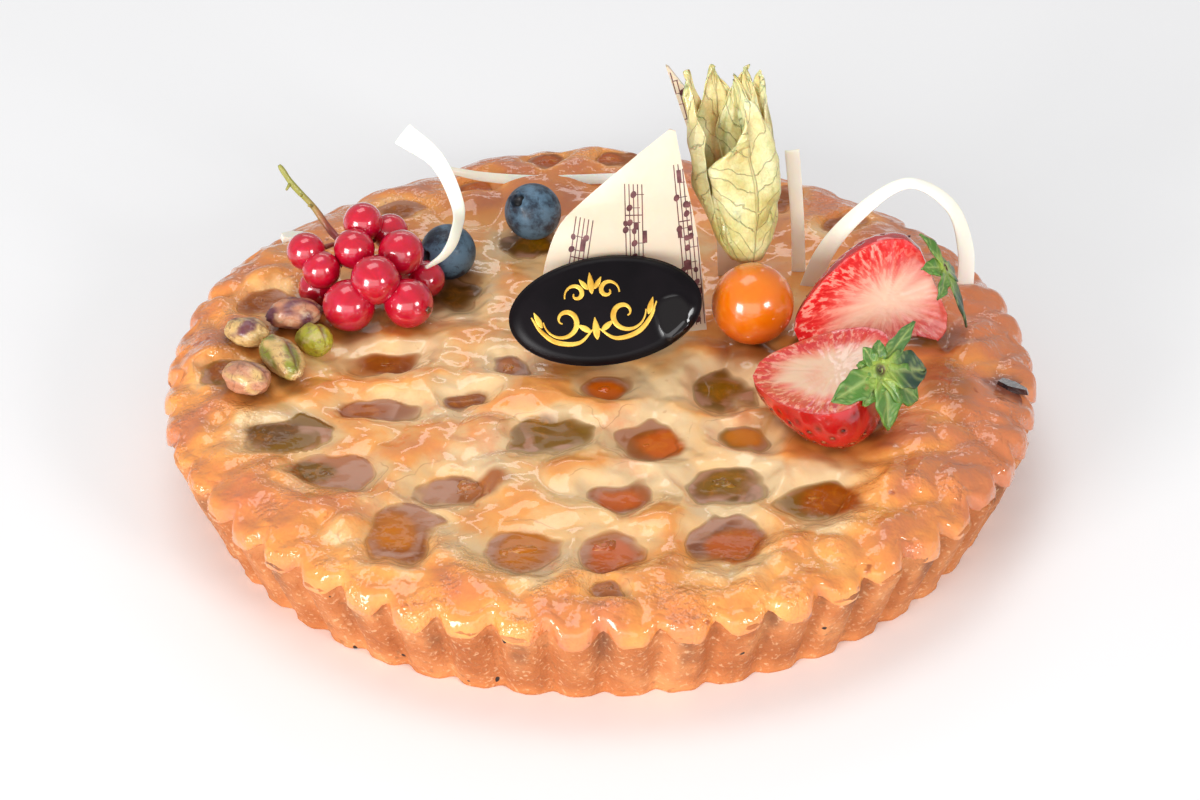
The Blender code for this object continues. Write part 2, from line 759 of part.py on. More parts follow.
def strawberry_calyx(name, centre, normal, leaves):
    """The green leaves at a strawberry's crown, one thin wavy star."""
    out = Vector(normal).normalized()
    right = Vector((0, 0, 1)).cross(out).normalized()
    up = out.cross(right)
    count = len(leaves) * CALYX_POINTS_PER_LEAF
    rims = []
    first_direction, *first_shape = leaves[0]
    following = [*leaves[1:], (first_direction + 360, *first_shape)]
    for (direction, length, bend), (next_direction, next_length, next_bend) in zip(leaves, following):
        for step in range(CALYX_POINTS_PER_LEAF):
            t = step / CALYX_POINTS_PER_LEAF
            leaf_length, leaf_bend = (length, bend) if t < 0.5 else (next_length, next_bend)
            peak = 1 - (1 - abs(2 * t - 1)) ** 2
            reach = CALYX_CORE + (leaf_length - CALYX_CORE) * peak
            angle = math.radians(direction + (next_direction - direction) * t)
            rims.append((angle, reach, leaf_bend * peak))
    skin = Skin()
    faces = {}
    for side, lift in (("outer", 0.5 * CALYX_THICKNESS), ("inner", -0.5 * CALYX_THICKNESS)):
        rings = []
        for share in (0.3, 0.65, 1.0):
            points = []
            for angle, reach, bend in rims:
                way = right * math.cos(angle) + up * math.sin(angle)
                distance = max(reach * share, CALYX_CORE * (0.5 + share / 2))
                points.append(Vector(centre) + way * distance - out * (bend * share ** 2 - lift))
            rings.append(skin.add(points))
        faces[side] = rings
    outer, inner = faces["outer"], faces["inner"]
    skin.close(outer[0], Vector(centre) + out * (0.5 * CALYX_THICKNESS + 0.6))
    skin.close(inner[0], Vector(centre) - out * (0.5 * CALYX_THICKNESS - 0.3), upwards=False)
    for side_rings, flip in ((outer, False), (inner, True)):
        for near, far in zip(side_rings, side_rings[1:]):
            for i in range(count):
                k = (i + 1) % count
                skin.faces.extend([(near[i], far[i], far[k]), (near[i], far[k], near[k])])
    for i in range(count):
        k = (i + 1) % count
        a, b, c, d = outer[-1][i], inner[-1][i], inner[-1][k], outer[-1][k]
        skin.faces.extend([(a, b, c), (a, c, d)])
    return make_object(f"strawberry_calyx_{name}", skin, (0.12, 0.24, 0.04), 0.5)


def pistachios():
    """Shelled nuts, each with a shallow crease along its side."""
    nuts = []
    for number, (x, y, length, width, turn, tilt, lift) in enumerate(PISTACHIOS, start=1):
        skin = ball(1.0, 10, 5, bumps=0.1, seed=number * 5.1)
        size = Matrix.Rotation(math.radians(90), 4, "Y")
        size = Matrix.Diagonal((length, width, 0.86 * width, 1.0)) @ size
        spin = Matrix.Rotation(math.radians(turn), 4, "Z") @ Matrix.Rotation(math.radians(tilt), 4, "Y")
        place = Matrix.Translation((x, y, custard_height(x, y) + 0.43 * width - 0.5 + lift))
        skin.moved(place @ spin @ size)
        nuts.append(make_object(f"pistachio_{number}", skin, (0.42, 0.24, 0.12), 0.5))
    return nuts


def edge_sheet(name, left_edge, right_edge, rows, columns, bulge):
    """A curved chocolate sheet between two edge curves."""
    left = smooth_path(left_edge, 8)
    right = smooth_path(right_edge, 8)
    grid = []
    for i in range(rows + 1):
        start = left[round(i / rows * (len(left) - 1))]
        end = right[round(i / rows * (len(right) - 1))]
        line = []
        for j in range(columns + 1):
            t = j / columns
            bow = Vector((0, -bulge * math.sin(math.pi * t) * (end - start).length / 40, 0))
            line.append(start.lerp(end, t) + bow)
        grid.append(line)
    return make_object(name, sheet(grid, SHEET_THICKNESS), (0.88, 0.80, 0.62), 0.35)


def chocolate_plaque():
    """The oval dark chocolate plaque that leans on the fan."""
    half_length = PLAQUE_LENGTH / 2
    half_width = PLAQUE_WIDTH / 2
    half_thickness = PLAQUE_THICKNESS / 2
    rings = []
    for inset, height in ((0.9, -half_thickness), (0.0, -0.2), (0.9, half_thickness)):
        rings.append([
            (
                (half_length - inset) * math.cos(math.tau * i / PLAQUE_SIDES),
                (half_width - inset) * math.sin(math.tau * i / PLAQUE_SIDES),
                height,
            )
            for i in range(PLAQUE_SIDES)
        ])
    skin = Skin()
    skin.stack(rings, (0, 0, -half_thickness), (0, 0, half_thickness + PLAQUE_BULGE))
    roll = Matrix.Rotation(math.radians(-PLAQUE_ROLL), 4, "Y")
    lean = Matrix.Rotation(math.radians(PLAQUE_LEAN), 4, "X")
    skin.moved(Matrix.Translation(PLAQUE_CENTRE) @ roll @ lean)
    return make_object("chocolate_plaque", skin, (0.02, 0.012, 0.015), 0.15)


def curls():
    """Thin white chocolate ribbons, bent and twisted."""
    ribbons = []
    for name, (line, facings) in CURLS.items():
        path = smooth_path(line, CURL_STEPS)
        ways = smooth_path(facings, CURL_STEPS)
        grid = []
        for i, (point, way) in enumerate(zip(path, ways)):
            ahead = path[min(i + 1, len(path) - 1)] - path[max(i - 1, 0)]
            across = ahead.xyz.cross(way).normalized() * (point.w / 2)
            grid.append([point.xyz - across, point.xyz + across])
        ribbons.append(make_object(name, sheet(grid, CURL_THICKNESS), (0.88, 0.80, 0.62), 0.35))
    return ribbons


def small_slab(name, place, size, turn, colour):
    """A small irregular chip lying on the custard, thinner and narrower at one end."""
    length, width, thickness = size
    outline = ((-0.5, -0.3), (-0.1, -0.5), (0.5, -0.12), (0.46, 0.2), (0.0, 0.5), (-0.46, 0.36))
    skin = Skin()
    lower = [(x * length, y * width, 0.0) for x, y in outline]
    upper = [(0.86 * x * length, 0.8 * y * width, thickness * (1 - 0.4 * x)) for x, y in outline]
    skin.stack([lower, upper], (0, 0, 0), (0, 0, thickness))
    x, y = place
    lift = Matrix.Translation((x, y, custard_height(x, y) - 0.3))
    skin.moved(lift @ Matrix.Rotation(math.radians(turn), 4, "Z"))
    return make_object(name, skin, colour, 0.4)


def cut_seats(custard, seated):
    """Cuts a pocket or a seat in the custard for each piece, a little larger than the piece."""
    group = bpy.data.collections.new("seat_cutters")
    bpy.context.scene.collection.children.link(group)
    for piece in seated:
        cutter = bpy.data.objects.new(f"{piece.name}_seat", piece.data)
        group.objects.link(cutter)
        cutter.hide_render = True
        cutter.display_type = "WIRE"
        growth = cutter.modifiers.new("clearance", "DISPLACE")
        growth.direction = "NORMAL"
        growth.mid_level = 0.0
        growth.strength = SEAT_GROWTH * MM
    cut = custard.modifiers.new("seats", "BOOLEAN")
    cut.operation = "DIFFERENCE"
    cut.operand_type = "COLLECTION"
    cut.collection = group
    cut.solver = "MANIFOLD"  # EXACT leaves torn edges where two seats run into each other
    group.hide_render = True


def build():
    for obj in list(bpy.data.objects):
        bpy.data.objects.remove(obj)
    pastry_case()
    custard = custard_filling()
    seated = plum_halves()
    seated.append(currant_truss())
    seated += blueberries()
    seated.append(physalis_berry())
    seated.append(physalis_husk())
    for name, sizes in STRAWBERRIES.items():
        seated.append(strawberry_half(name, *sizes))
        seated.append(strawberry_calyx(name, *CALYXES[name]))
    seated += pistachios()
    fan_size = (FAN_ROWS, FAN_COLUMNS, FAN_BULGE)
    seated.append(edge_sheet("chocolate_fan", FAN_LEFT_EDGE, FAN_RIGHT_EDGE, *fan_size))
    shard_size = (SHARD_ROWS, SHARD_COLUMNS, 0.0)
    seated.append(edge_sheet("chocolate_shard", SHARD_LEFT_EDGE, SHARD_RIGHT_EDGE, *shard_size))
    seated.append(chocolate_plaque())
    seated += curls()
    seated.append(small_slab("white_chip", CHIP_PLACE, CHIP_SIZE, CHIP_TURN, (0.88, 0.80, 0.62)))
    seated.append(small_slab("charred_bit", CHAR_PLACE, CHAR_SIZE, CHAR_TURN, (0.02, 0.015, 0.02)))
    cut_seats(custard, seated)


build()
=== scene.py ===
import random
from functools import cached_property
from math import atan2, copysign, cos, exp, hypot, pi, radians, sin, sqrt, tau

import bmesh
import bpy
import numpy as np
from mathutils import Matrix, Vector, noise
from mathutils.bvhtree import BVHTree
from mathutils.geometry import delaunay_2d_cdt


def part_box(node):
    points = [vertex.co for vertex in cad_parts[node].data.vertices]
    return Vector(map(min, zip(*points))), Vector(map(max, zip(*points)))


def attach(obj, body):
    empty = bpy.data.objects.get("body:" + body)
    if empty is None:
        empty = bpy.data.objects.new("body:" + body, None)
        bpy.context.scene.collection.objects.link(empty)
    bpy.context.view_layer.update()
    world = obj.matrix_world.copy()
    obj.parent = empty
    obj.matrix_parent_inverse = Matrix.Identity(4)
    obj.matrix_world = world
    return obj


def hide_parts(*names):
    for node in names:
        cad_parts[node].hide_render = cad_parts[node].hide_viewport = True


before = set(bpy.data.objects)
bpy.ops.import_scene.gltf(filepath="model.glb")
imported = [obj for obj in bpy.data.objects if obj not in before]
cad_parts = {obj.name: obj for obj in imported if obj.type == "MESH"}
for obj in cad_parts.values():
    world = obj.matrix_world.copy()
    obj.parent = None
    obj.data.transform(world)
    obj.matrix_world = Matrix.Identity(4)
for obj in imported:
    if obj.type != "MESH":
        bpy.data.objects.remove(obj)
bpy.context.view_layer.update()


# Pastry case.
# A short-crust shell pressed into a fluted tin and baked with its filling: broad round lobes with
# soft grooves between them, a sandy crumb, a few burnt specks and a slightly ragged foot.

MM = 0.001
BASE_RADIUS = 101.0
RIM_RADIUS = 109.0
CASE_HEIGHT = 22.5
FLUTES = 54
FLUTE_DEPTH = 3.4
FLUTE_ROUNDNESS = 2.6
FLOOR_THICKNESS = 4.0
FLOOR_RADIUS = 98.0
INNER_RIM_RADIUS = 104.0
POINTS_PER_FLUTE = 12
CASE_ROWS = 80
CRUMB_RELIEF = 1.0
FOOT_FLARE = 2.2
FOOT_HEIGHT = 2.2

# Share of the way along the section, share of the rim's radius, of the height, and of the fluting
CASE_SECTION = (
    (0.0, 0.0, 0.0, 0.0),
    (0.08, 0.9, 0.0, 0.3),
    (0.11, BASE_RADIUS / RIM_RADIUS - 0.006, 0.0, 0.55),
    (0.13, BASE_RADIUS / RIM_RADIUS - 0.003, 0.05, 0.55),
    (0.35, 0.5 + 0.5 * BASE_RADIUS / RIM_RADIUS - 0.004, 0.48, 0.85),
    (0.62, 0.996, 0.96, 1.0),
    (0.64, 0.993, 1.0, 1.0),
    (0.72, INNER_RIM_RADIUS / RIM_RADIUS, 1.0, 0.0),
    (0.88, FLOOR_RADIUS / RIM_RADIUS, FLOOR_THICKNESS / CASE_HEIGHT, 0.0),
    (1.0, 0.0, FLOOR_THICKNESS / CASE_HEIGHT, 0.0),
)


class Signal:
    """A node's result, so that nodes can be joined with plain arithmetic."""

    def __init__(self, tree, socket):
        self.tree = tree
        self.socket = socket

    def calc(self, operation, first, second=0.0):
        return put(self.tree, "ShaderNodeMath", {0: first, 1: second}, operation=operation)

    def __add__(self, other):
        return self.calc("ADD", self, other)

    def __sub__(self, other):
        return self.calc("SUBTRACT", self, other)

    def __rsub__(self, other):
        return self.calc("SUBTRACT", other, self)

    def __mul__(self, other):
        return self.calc("MULTIPLY", self, other)

    def __pow__(self, other):
        return self.calc("POWER", self, other)

    def __rpow__(self, other):
        return self.calc("POWER", other, self)

    def __abs__(self):
        return self.calc("ABSOLUTE", self)

    def most(self, other):
        return self.calc("MAXIMUM", self, other)

    def axis(self, name):
        return put(self.tree, "ShaderNodeSeparateXYZ", {0: self}, name)

    def spread(self, low, high):
        """Takes the range from low to high to the range 0 to 1, smoothly and without going beyond."""
        settings = {"Value": self, "From Min": low, "From Max": high}
        return put(self.tree, "ShaderNodeMapRange", settings, interpolation_type="SMOOTHSTEP")


def put(tree, kind, inputs=None, output=0, **settings):
    """Adds a node to a tree. An input takes a plain value or another node's result."""
    node = tree.nodes.new(kind)
    for key, value in settings.items():
        setattr(node, key, value)
    for key, value in (inputs or {}).items():
        if isinstance(value, Signal):
            tree.links.new(value.socket, node.inputs[key])
        else:
            node.inputs[key].default_value = value
    return Signal(tree, node.outputs[output] if len(node.outputs) else None)


def node_group(name, kind, output, **inputs):
    """A node group with one output, and its inputs' values by name."""
    tree = bpy.data.node_groups.new(name, kind)
    tree.interface.new_socket(output[0], in_out="OUTPUT", socket_type=f"NodeSocket{output[1]}")
    for key, sort in inputs.items():
        tree.interface.new_socket(key.replace("_", " "), in_out="INPUT", socket_type=f"NodeSocket{sort}")
    return tree, {socket.name: Signal(tree, socket) for socket in tree.nodes.new("NodeGroupInput").outputs}


def speckle(place, scale, detail=3.0, roughness=0.5, distortion=0.0):
    """A noise value at a place."""
    settings = {"Vector": place, "Scale": scale, "Detail": detail, "Roughness": roughness}
    return put(place.tree, "ShaderNodeTexNoise", {**settings, "Distortion": distortion})


def joined(x, y, z):
    return put(z.tree, "ShaderNodeCombineXYZ", {0: x, 1: y, 2: z})


def profile_curve(share, column):
    """A value that follows one column of the case's section."""
    height = put(share.tree, "ShaderNodeFloatCurve", {"Value": share})
    mapping = height.socket.node.mapping
    points = mapping.curves[0].points
    while len(points) < len(CASE_SECTION):
        points.new(0.5, 0.5)
    for point, row in zip(points, CASE_SECTION):
        point.location = (row[0], row[column])
        point.handle_type = "VECTOR"
    mapping.update()
    return height


def close_tree(tree, geometry, material):
    """Ends a tree: real, smooth geometry with its material."""
    real = put(tree, "GeometryNodeRealizeInstances", {"Geometry": geometry})
    smooth = put(tree, "GeometryNodeSetShadeSmooth", {"Geometry": real})
    skinned = put(tree, "GeometryNodeSetMaterial", {"Geometry": smooth, "Material": material})
    put(tree, "NodeGroupOutput", {0: skinned})


def fluted_shell_tree():
    """A round shell whose wall stands in lobes: a grid wrapped round the axis along a section."""
    tree, given = node_group(
        "fluted_shell", "GeometryNodeTree", ("Geometry", "Geometry"), Flutes="Int", Points_per_Flute="Int",
        Rim_Radius="Float", Height="Float", Flute_Depth="Float", Roundness="Float", Relief="Float",
        Foot_Flare="Float", Crust="Material")
    columns = given["Flutes"] * given["Points per Flute"] + 1.0
    sizes = {"Size X": 1.0, "Size Y": 1.0, "Vertices X": columns, "Vertices Y": CASE_ROWS}
    grid = put(tree, "GeometryNodeMeshGrid", sizes, "Mesh")
    flat = put(tree, "GeometryNodeInputPosition")
    angle = (flat.axis("X") + 0.5) * tau
    share = flat.axis("Y") + 0.5
    wave = angle.calc("COSINE", angle * given["Flutes"])
    fluting = profile_curve(share, 3)
    groove = (wave * 0.5 + 0.5) ** given["Roundness"] * fluting
    smooth_radius = profile_curve(share, 1) * given["Rim Radius"] - groove * given["Flute Depth"]
    height = profile_curve(share, 2) * given["Height"]
    east = angle.calc("SINE", angle)
    south = angle.calc("COSINE", angle) * -1.0
    smooth_place = joined(east * smooth_radius, south * smooth_radius, height)
    bumps = (speckle(smooth_place, 520.0, 3.0) - 0.72) + (speckle(smooth_place, 95.0, 2.0) - 0.72)
    foot = (1.0 - height.spread(0.0, FOOT_HEIGHT * MM)) * speckle(smooth_place, 210.0, 3.0)
    spill = ((foot - 0.3) * given["Foot Flare"]).most(0.0) * fluting
    radius = smooth_radius + bumps * given["Relief"] * fluting + spill
    place = joined(east * radius, south * radius, height)
    bent = put(tree, "GeometryNodeSetPosition", {"Geometry": grid, "Position": place})
    marks = {"Geometry": bent, "Name": "groove", "Value": groove}
    marked = put(tree, "GeometryNodeStoreNamedAttribute", marks, data_type="FLOAT")
    welded = put(tree, "GeometryNodeMergeByDistance", {"Geometry": marked, "Distance": 0.01 * MM})
    close_tree(tree, welded, given["Crust"])
    return tree


def grown(name, tree, values, base=None):
    """A plain mesh object from a Geometry Nodes tree and its named inputs."""
    holder = bpy.data.objects.new(f"{name}_holder", base or bpy.data.meshes.new(f"{name}_seed"))
    bpy.context.scene.collection.objects.link(holder)
    modifier = holder.modifiers.new("nodes", "NODES")
    modifier.node_group = tree
    for item in tree.interface.items_tree:
        if item.in_out == "INPUT" and item.name in values:
            modifier[item.identifier] = values[item.name]
    graph = bpy.context.evaluated_depsgraph_get()
    mesh = bpy.data.meshes.new_from_object(holder.evaluated_get(graph), depsgraph=graph)
    mesh.name = name
    bpy.data.objects.remove(holder)
    obj = bpy.data.objects.new(name, mesh)
    bpy.context.scene.collection.objects.link(obj)
    return obj


def colour(red, green, blue):
    """A display colour, 0 to 255 each, as the linear colour that a shader takes."""
    shares = [value / 255 for value in (red, green, blue)]
    linear = [share / 12.92 if share <= 0.04045 else ((share + 0.055) / 1.055) ** 2.4 for share in shares]
    return (*linear, 1.0)


def tinted(share, base, tint):
    """A colour that goes from base to tint; each is a node's result or a display colour."""
    base, tint = [tone if isinstance(tone, Signal) else colour(*tone) for tone in (base, tint)]
    return put(share.tree, "ShaderNodeMix", {0: share, 6: base, 7: tint}, 2, data_type="RGBA")


def ramp(value, *stops):
    """A colour that follows a value; each stop is a share and a display colour, lowest first."""
    tone = put(value.tree, "ShaderNodeValToRGB", {0: value})
    elements = tone.socket.node.color_ramp.elements
    while len(elements) < len(stops):
        elements.new(0.5)
    for element, (share, display) in zip(elements, stops):
        element.position = share
        element.color = colour(*display)
    return tone


class Look:
    """A procedural material, with short ways to the nodes that it is made of."""

    def __init__(self, name, roughness, **sockets):
        self.material = bpy.data.materials.new(name)
        self.material.use_nodes = True
        self.tree = self.material.node_tree
        self.inputs = self.tree.nodes["Principled BSDF"].inputs
        for key, value in {"Roughness": roughness, **sockets}.items():
            self.inputs[key.replace("_", " ")].default_value = value

    @cached_property
    def place(self):
        return put(self.tree, "ShaderNodeTexCoord", output="Object")

    def speckle(self, *settings):
        """Noise over the piece: scale, detail, roughness and distortion."""
        return speckle(self.place, *settings)

    def stored(self, name, kind="Fac"):
        """What the mesh holds under a name."""
        return put(self.tree, "ShaderNodeAttribute", output=kind, attribute_name=name)

    def bump(self, height, strength, distance):
        settings = {"Height": height, "Strength": strength, "Distance": distance}
        return put(self.tree, "ShaderNodeBump", settings)

    def done(self, **signals):
        """The material, with these node results on its shader."""
        for key, signal in signals.items():
            self.tree.links.new(signal.socket, self.inputs[key.replace("_", " ")])
        return self.material


def crust_material():
    look = Look("short_crust", 0.62, Subsurface_Weight=0.08, Subsurface_Scale=0.002, Specular_IOR_Level=0.3)
    height = look.place.axis("Z")
    tone = ramp(look.speckle(75.0, 4.0), (0.3, (166, 92, 46)), (0.5, (188, 113, 63)), (0.7, (210, 141, 88)))
    foot = 1.0 - height.spread(0.0005, 0.006)
    tone = tinted(foot * 0.35, tone, (226, 144, 82))
    # Painted shade: darker brown down the grooves between the lobes, above the foot, broken up by noise.
    groove_shade = look.stored("groove").spread(0.35, 0.95) * height.spread(0.004, 0.02)
    groove_shade *= look.speckle(110.0, 3.0).spread(0.3, 0.62)
    tone = tinted(groove_shade * 0.85, tone, (118, 72, 48))
    grains = look.speckle(900.0, 2.0)
    tone = tinted(grains.spread(0.56, 0.72) * 0.35, tone, (248, 210, 166))
    crevices = look.speckle(380.0, 4.0).spread(0.6, 0.7)
    tone = tinted(crevices * 0.5, tone, (150, 96, 58))
    burnt = look.speckle(235.0, 1.0).spread(0.75, 0.77)
    tone = tinted(burnt, tone, (48, 38, 36))
    relief = grains * 0.5 + look.speckle(300.0, 4.0)
    return look.done(Base_Color=tone, Normal=look.bump(relief, 0.7, 0.0008))


case = grown("fluted_case", fluted_shell_tree(), {
    "Flutes": FLUTES,
    "Points per Flute": POINTS_PER_FLUTE,
    "Rim Radius": RIM_RADIUS * MM,
    "Height": CASE_HEIGHT * MM,
    "Flute Depth": FLUTE_DEPTH * MM,
    "Roundness": FLUTE_ROUNDNESS,
    "Relief": CRUMB_RELIEF * MM,
    "Foot Flare": FOOT_FLARE * MM,
    "Crust": crust_material(),
})
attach(case, "root")
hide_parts("pastry_case")


# Custard filling.
# Custard poured over the plum halves and baked until it puffed: pale and creamy between the plums,
# golden to brown on the domes near the rim, where it laps over the crust. The whole top is glazed.

CUSTARD_LEVEL = 25.4
CUSTARD_SPACING = 0.8
PUFF_WIDTH = 17.0
PUFF_HEIGHT = 3.2
PUFF_RISE = 0.9
BILLOW_RISE = 2.6
PUFF_SEED = 4.3
SWELL_SEED = 9.1
RIM_SWELL = 1.6
RIM_SWELL_RADIUS = 91.0
RIM_SWELL_WIDTH = 11.0
EDGE_DROP = 2.0
EDGE_START = 100.0
BACK_SWELL = 3.6
BACK_SWELL_PLACE = (-8.0, 94.0)
BACK_SWELL_WIDTH = 22.0
HOLLOW_DEPTH = 3.4
HOLLOW_FLOOR = 0.7
HOLLOW_BRIM = 1.27
POOL_DROP = 1.25
POOL_REACH = 1.7
RAGGED = 3.4
SOFT_FLOOR = 0.3
SOFT_BRIM = 1.5
LIP_STEPS = 10
LIP_DROP = 2.7
LIP_REACH = 4.2
LIP_FULLNESS = 0.6
LIP_FLUTING = 0.55
BROWNING_RADII = (52.0, 104.0)
FOOT_REACH = 12.0
FOOT_CLIMB = 1.7

AMBER = colour(194, 108, 0)
ORANGE = colour(198, 88, 4)
OLIVE = colour(126, 84, 0)
DARK_OLIVE = colour(104, 64, 4)
BROWN = colour(146, 74, 14)
DARK_AMBER = colour(160, 78, 4)
# The pink in PINK_BROWN and the purple in PURPLE_BROWN are partly a painted reflection on the glaze.
PINK_BROWN = colour(172, 98, 46)
RED_BROWN = colour(182, 84, 14)
PURPLE_BROWN = colour(130, 72, 44)

# Each plum half: x, y, length along its own axis, width across it, turn in degrees, how much its
# middle is dished, its flesh and the glaze that lies round it
PLUMS = (
    (-46.0, -73.6, 15.5, 20.3, 0, 0.3, AMBER, BROWN),
    (-63.3, -48.7, 17.0, 12.6, -12, 0.0, OLIVE, PINK_BROWN),
    (-76.5, -33.6, 20.5, 13.0, 10, 0.0, DARK_OLIVE, OLIVE),
    (-31.8, -54.7, 18.0, 14.6, 20, 0.0, PINK_BROWN, BROWN),
    (-53.0, -21.0, 18.5, 9.5, -14, 0.0, DARK_AMBER, BROWN),
    (-52.5, -1.3, 21.5, 11.7, -4, 0.0, BROWN, DARK_AMBER),
    (-33.5, -18.0, 13.0, 9.2, 12, 0.0, BROWN, PURPLE_BROWN),
    (-22.2, -4.4, 10.4, 9.4, 0, 0.0, PINK_BROWN, PURPLE_BROWN),
    (-13.7, -35.6, 17.6, 13.7, 4, 0.5, OLIVE, OLIVE),
    (1.0, -14.5, 12.7, 11.9, 0, 0.0, ORANGE, BROWN),
    (29.0, -13.5, 16.5, 16.5, 30, 0.0, OLIVE, DARK_OLIVE),
    (32.8, -34.0, 14.5, 10.7, -18, 0.0, AMBER, OLIVE),
    (11.3, -36.7, 15.7, 15.6, 0, 0.2, ORANGE, BROWN),
    (28.5, -53.2, 18.6, 13.2, 8, 0.0, OLIVE, DARK_OLIVE),
    (4.7, -60.0, 17.2, 12.0, 0, 0.9, ORANGE, BROWN),
    (50.2, -61.1, 20.5, 17.0, 14, 0.2, DARK_AMBER, OLIVE),
    (-19.3, -79.5, 18.6, 17.5, 8, 0.0, AMBER, PINK_BROWN),
    (0.8, -78.8, 15.0, 16.5, 0, 0.0, ORANGE, PINK_BROWN),
    (25.7, -75.6, 15.2, 20.5, -12, 0.0, RED_BROWN, PURPLE_BROWN),
    (1.1, -93.4, 7.0, 6.3, 0, 0.0, PINK_BROWN, PINK_BROWN),
    (-37.4, 32.4, 13.0, 17.8, 0, 0.0, DARK_OLIVE, DARK_OLIVE),
    (-18.4, 54.5, 11.8, 10.5, 0, 0.0, OLIVE, DARK_OLIVE),
    (-88.1, 26.0, 10.9, 13.0, 0, 0.0, BROWN, PINK_BROWN),
    (-54.0, 71.8, 11.0, 9.8, 0, 0.0, BROWN, PINK_BROWN),
    (-93.6, -6.5, 11.0, 9.8, 0, 0.0, BROWN, OLIVE),
    (-33.1, 85.2, 12.2, 8.0, 16, 0.0, RED_BROWN, BROWN),
    (-14.6, 96.6, 12.0, 7.4, 8, 0.0, RED_BROWN, BROWN),
    (3.5, 97.0, 12.0, 7.4, -2, 0.0, RED_BROWN, BROWN),
    (50.6, 77.6, 8.3, 13.0, -32, 0.0, BROWN, DARK_AMBER),
    (64.5, 62.0, 10.9, 13.0, -44, 0.0, BROWN, DARK_AMBER),
    (11.7, 70.4, 13.7, 10.8, 0, 0.0, DARK_AMBER, OLIVE),
)

# Which way some plums' flesh shows in its pool, from the pool's middle
FLESH_SHIFTS = {0: (-0.5, 1.5), 1: (-4.0, 0.0), 2: (-3.0, 1.0), 3: (6.0, 0.5), 4: (-4.0, 0.0), 8: (0.0, 4.0),
                12: (3.5, -1.0), 15: (2.0, 0.0), 16: (2.0, 2.5), 17: (1.0, -3.0), 18: (3.5, -1.0)}

# What stands in the glaze, and three places where it has run further: x, y, length, width and turn
GLAZED_FEET = ("physalis_berry", "strawberry_half_front", "strawberry_half_back", "chocolate_plaque",
               "blueberry_left", "blueberry_back", "currant_truss", "pistachio_1", "pistachio_2",
               "pistachio_3", "pistachio_5")
GLAZE_SPOTS = (
    (38.5, 1.0, 30.0, 18.0, 0),
    (52.0, -35.0, 40.0, 12.0, -24),
    (84.0, -20.0, 14.0, 30.0, 10),
)


def ease(low, high, value):
    """0 below low, 1 above high, and a smooth rise between; takes arrays too."""
    share = np.clip((value - low) / (high - low), 0.0, 1.0)
    return share * share * (3 - 2 * share)


def wobble(x, y, z):
    """Smooth noise at a place."""
    return noise.noise(Vector((x, y, z)))


def noise_at(places, width, seed):
    """Smooth noise at an array of places on the tart, with bumps of about one width."""
    return np.array([wobble(x / width, y / width, seed) for x, y in places])


def oval_distance(places, x, y, length, width, turn, shift=(0.0, 0.0)):
    """Distance of each place from an oval's middle, as a share of the oval's half size."""
    angle = radians(turn)
    dx = places[:, 0] - x - shift[0]
    dy = places[:, 1] - y - shift[1]
    along = dx * cos(angle) + dy * sin(angle)
    across = dy * cos(angle) - dx * sin(angle)
    return np.hypot(along / (length / 2), across / (width / 2))


def plum_distances(places, shifts):
    """The distance of each place from each plum, a column a plum."""
    return np.array([oval_distance(places, *plum[:5], shift) for plum, shift in zip(PLUMS, shifts)]).T


def open_heights(places):
    """Heights of the baked top as it would be with no plums in it."""
    radius = np.hypot(places[:, 0], places[:, 1])
    back = np.hypot(places[:, 0] - BACK_SWELL_PLACE[0], places[:, 1] - BACK_SWELL_PLACE[1])
    heights = CUSTARD_LEVEL + PUFF_HEIGHT * np.abs(noise_at(places, PUFF_WIDTH, PUFF_SEED))
    heights += noise_at(places, 3 * PUFF_WIDTH, SWELL_SEED)
    heights += RIM_SWELL * np.exp(-(((radius - RIM_SWELL_RADIUS) / RIM_SWELL_WIDTH) ** 2))
    heights += BACK_SWELL * np.exp(-((back / BACK_SWELL_WIDTH) ** 2))
    return heights - EDGE_DROP * ease(EDGE_START, RIM_RADIUS, radius)


def custard_height(x, y):
    """Height of the baked top at a place, where things laid on it rest."""
    place = np.array([[x, y]])
    distances = plum_distances(place, np.zeros((len(PLUMS), 2)))
    hollows = HOLLOW_DEPTH * (1 - ease(HOLLOW_FLOOR, HOLLOW_BRIM, distances))
    return max(float((open_heights(place) - hollows.sum(axis=1))[0]), CASE_HEIGHT + 1.0)


PLUM_CENTRES = np.array([plum[:2] for plum in PLUMS])
POOL_LEVELS = open_heights(PLUM_CENTRES) - POOL_DROP


def fluted_ring(radius, depth):
    """Points of a fluted outline, from the front centre, counter-clockwise from above."""
    angles = np.arange(FLUTES * POINTS_PER_FLUTE) * tau / (FLUTES * POINTS_PER_FLUTE)
    lobe = 1 - (0.5 + 0.5 * np.cos(angles * FLUTES)) ** FLUTE_ROUNDNESS
    radii = radius - depth * (1 - lobe)
    return np.stack([radii * np.sin(angles), -radii * np.cos(angles)], axis=1), lobe


def ragged_shift(places):
    """How far each place is pushed sideways, so that the pools get ragged outlines."""
    bend = np.stack([noise_at(places, 9.0, 12.3), noise_at(places, 9.0, 17.9)], axis=1)
    fine = np.stack([noise_at(places, 3.4, 22.1), noise_at(places, 3.4, 27.6)], axis=1)
    return RAGGED * bend + 0.3 * RAGGED * fine


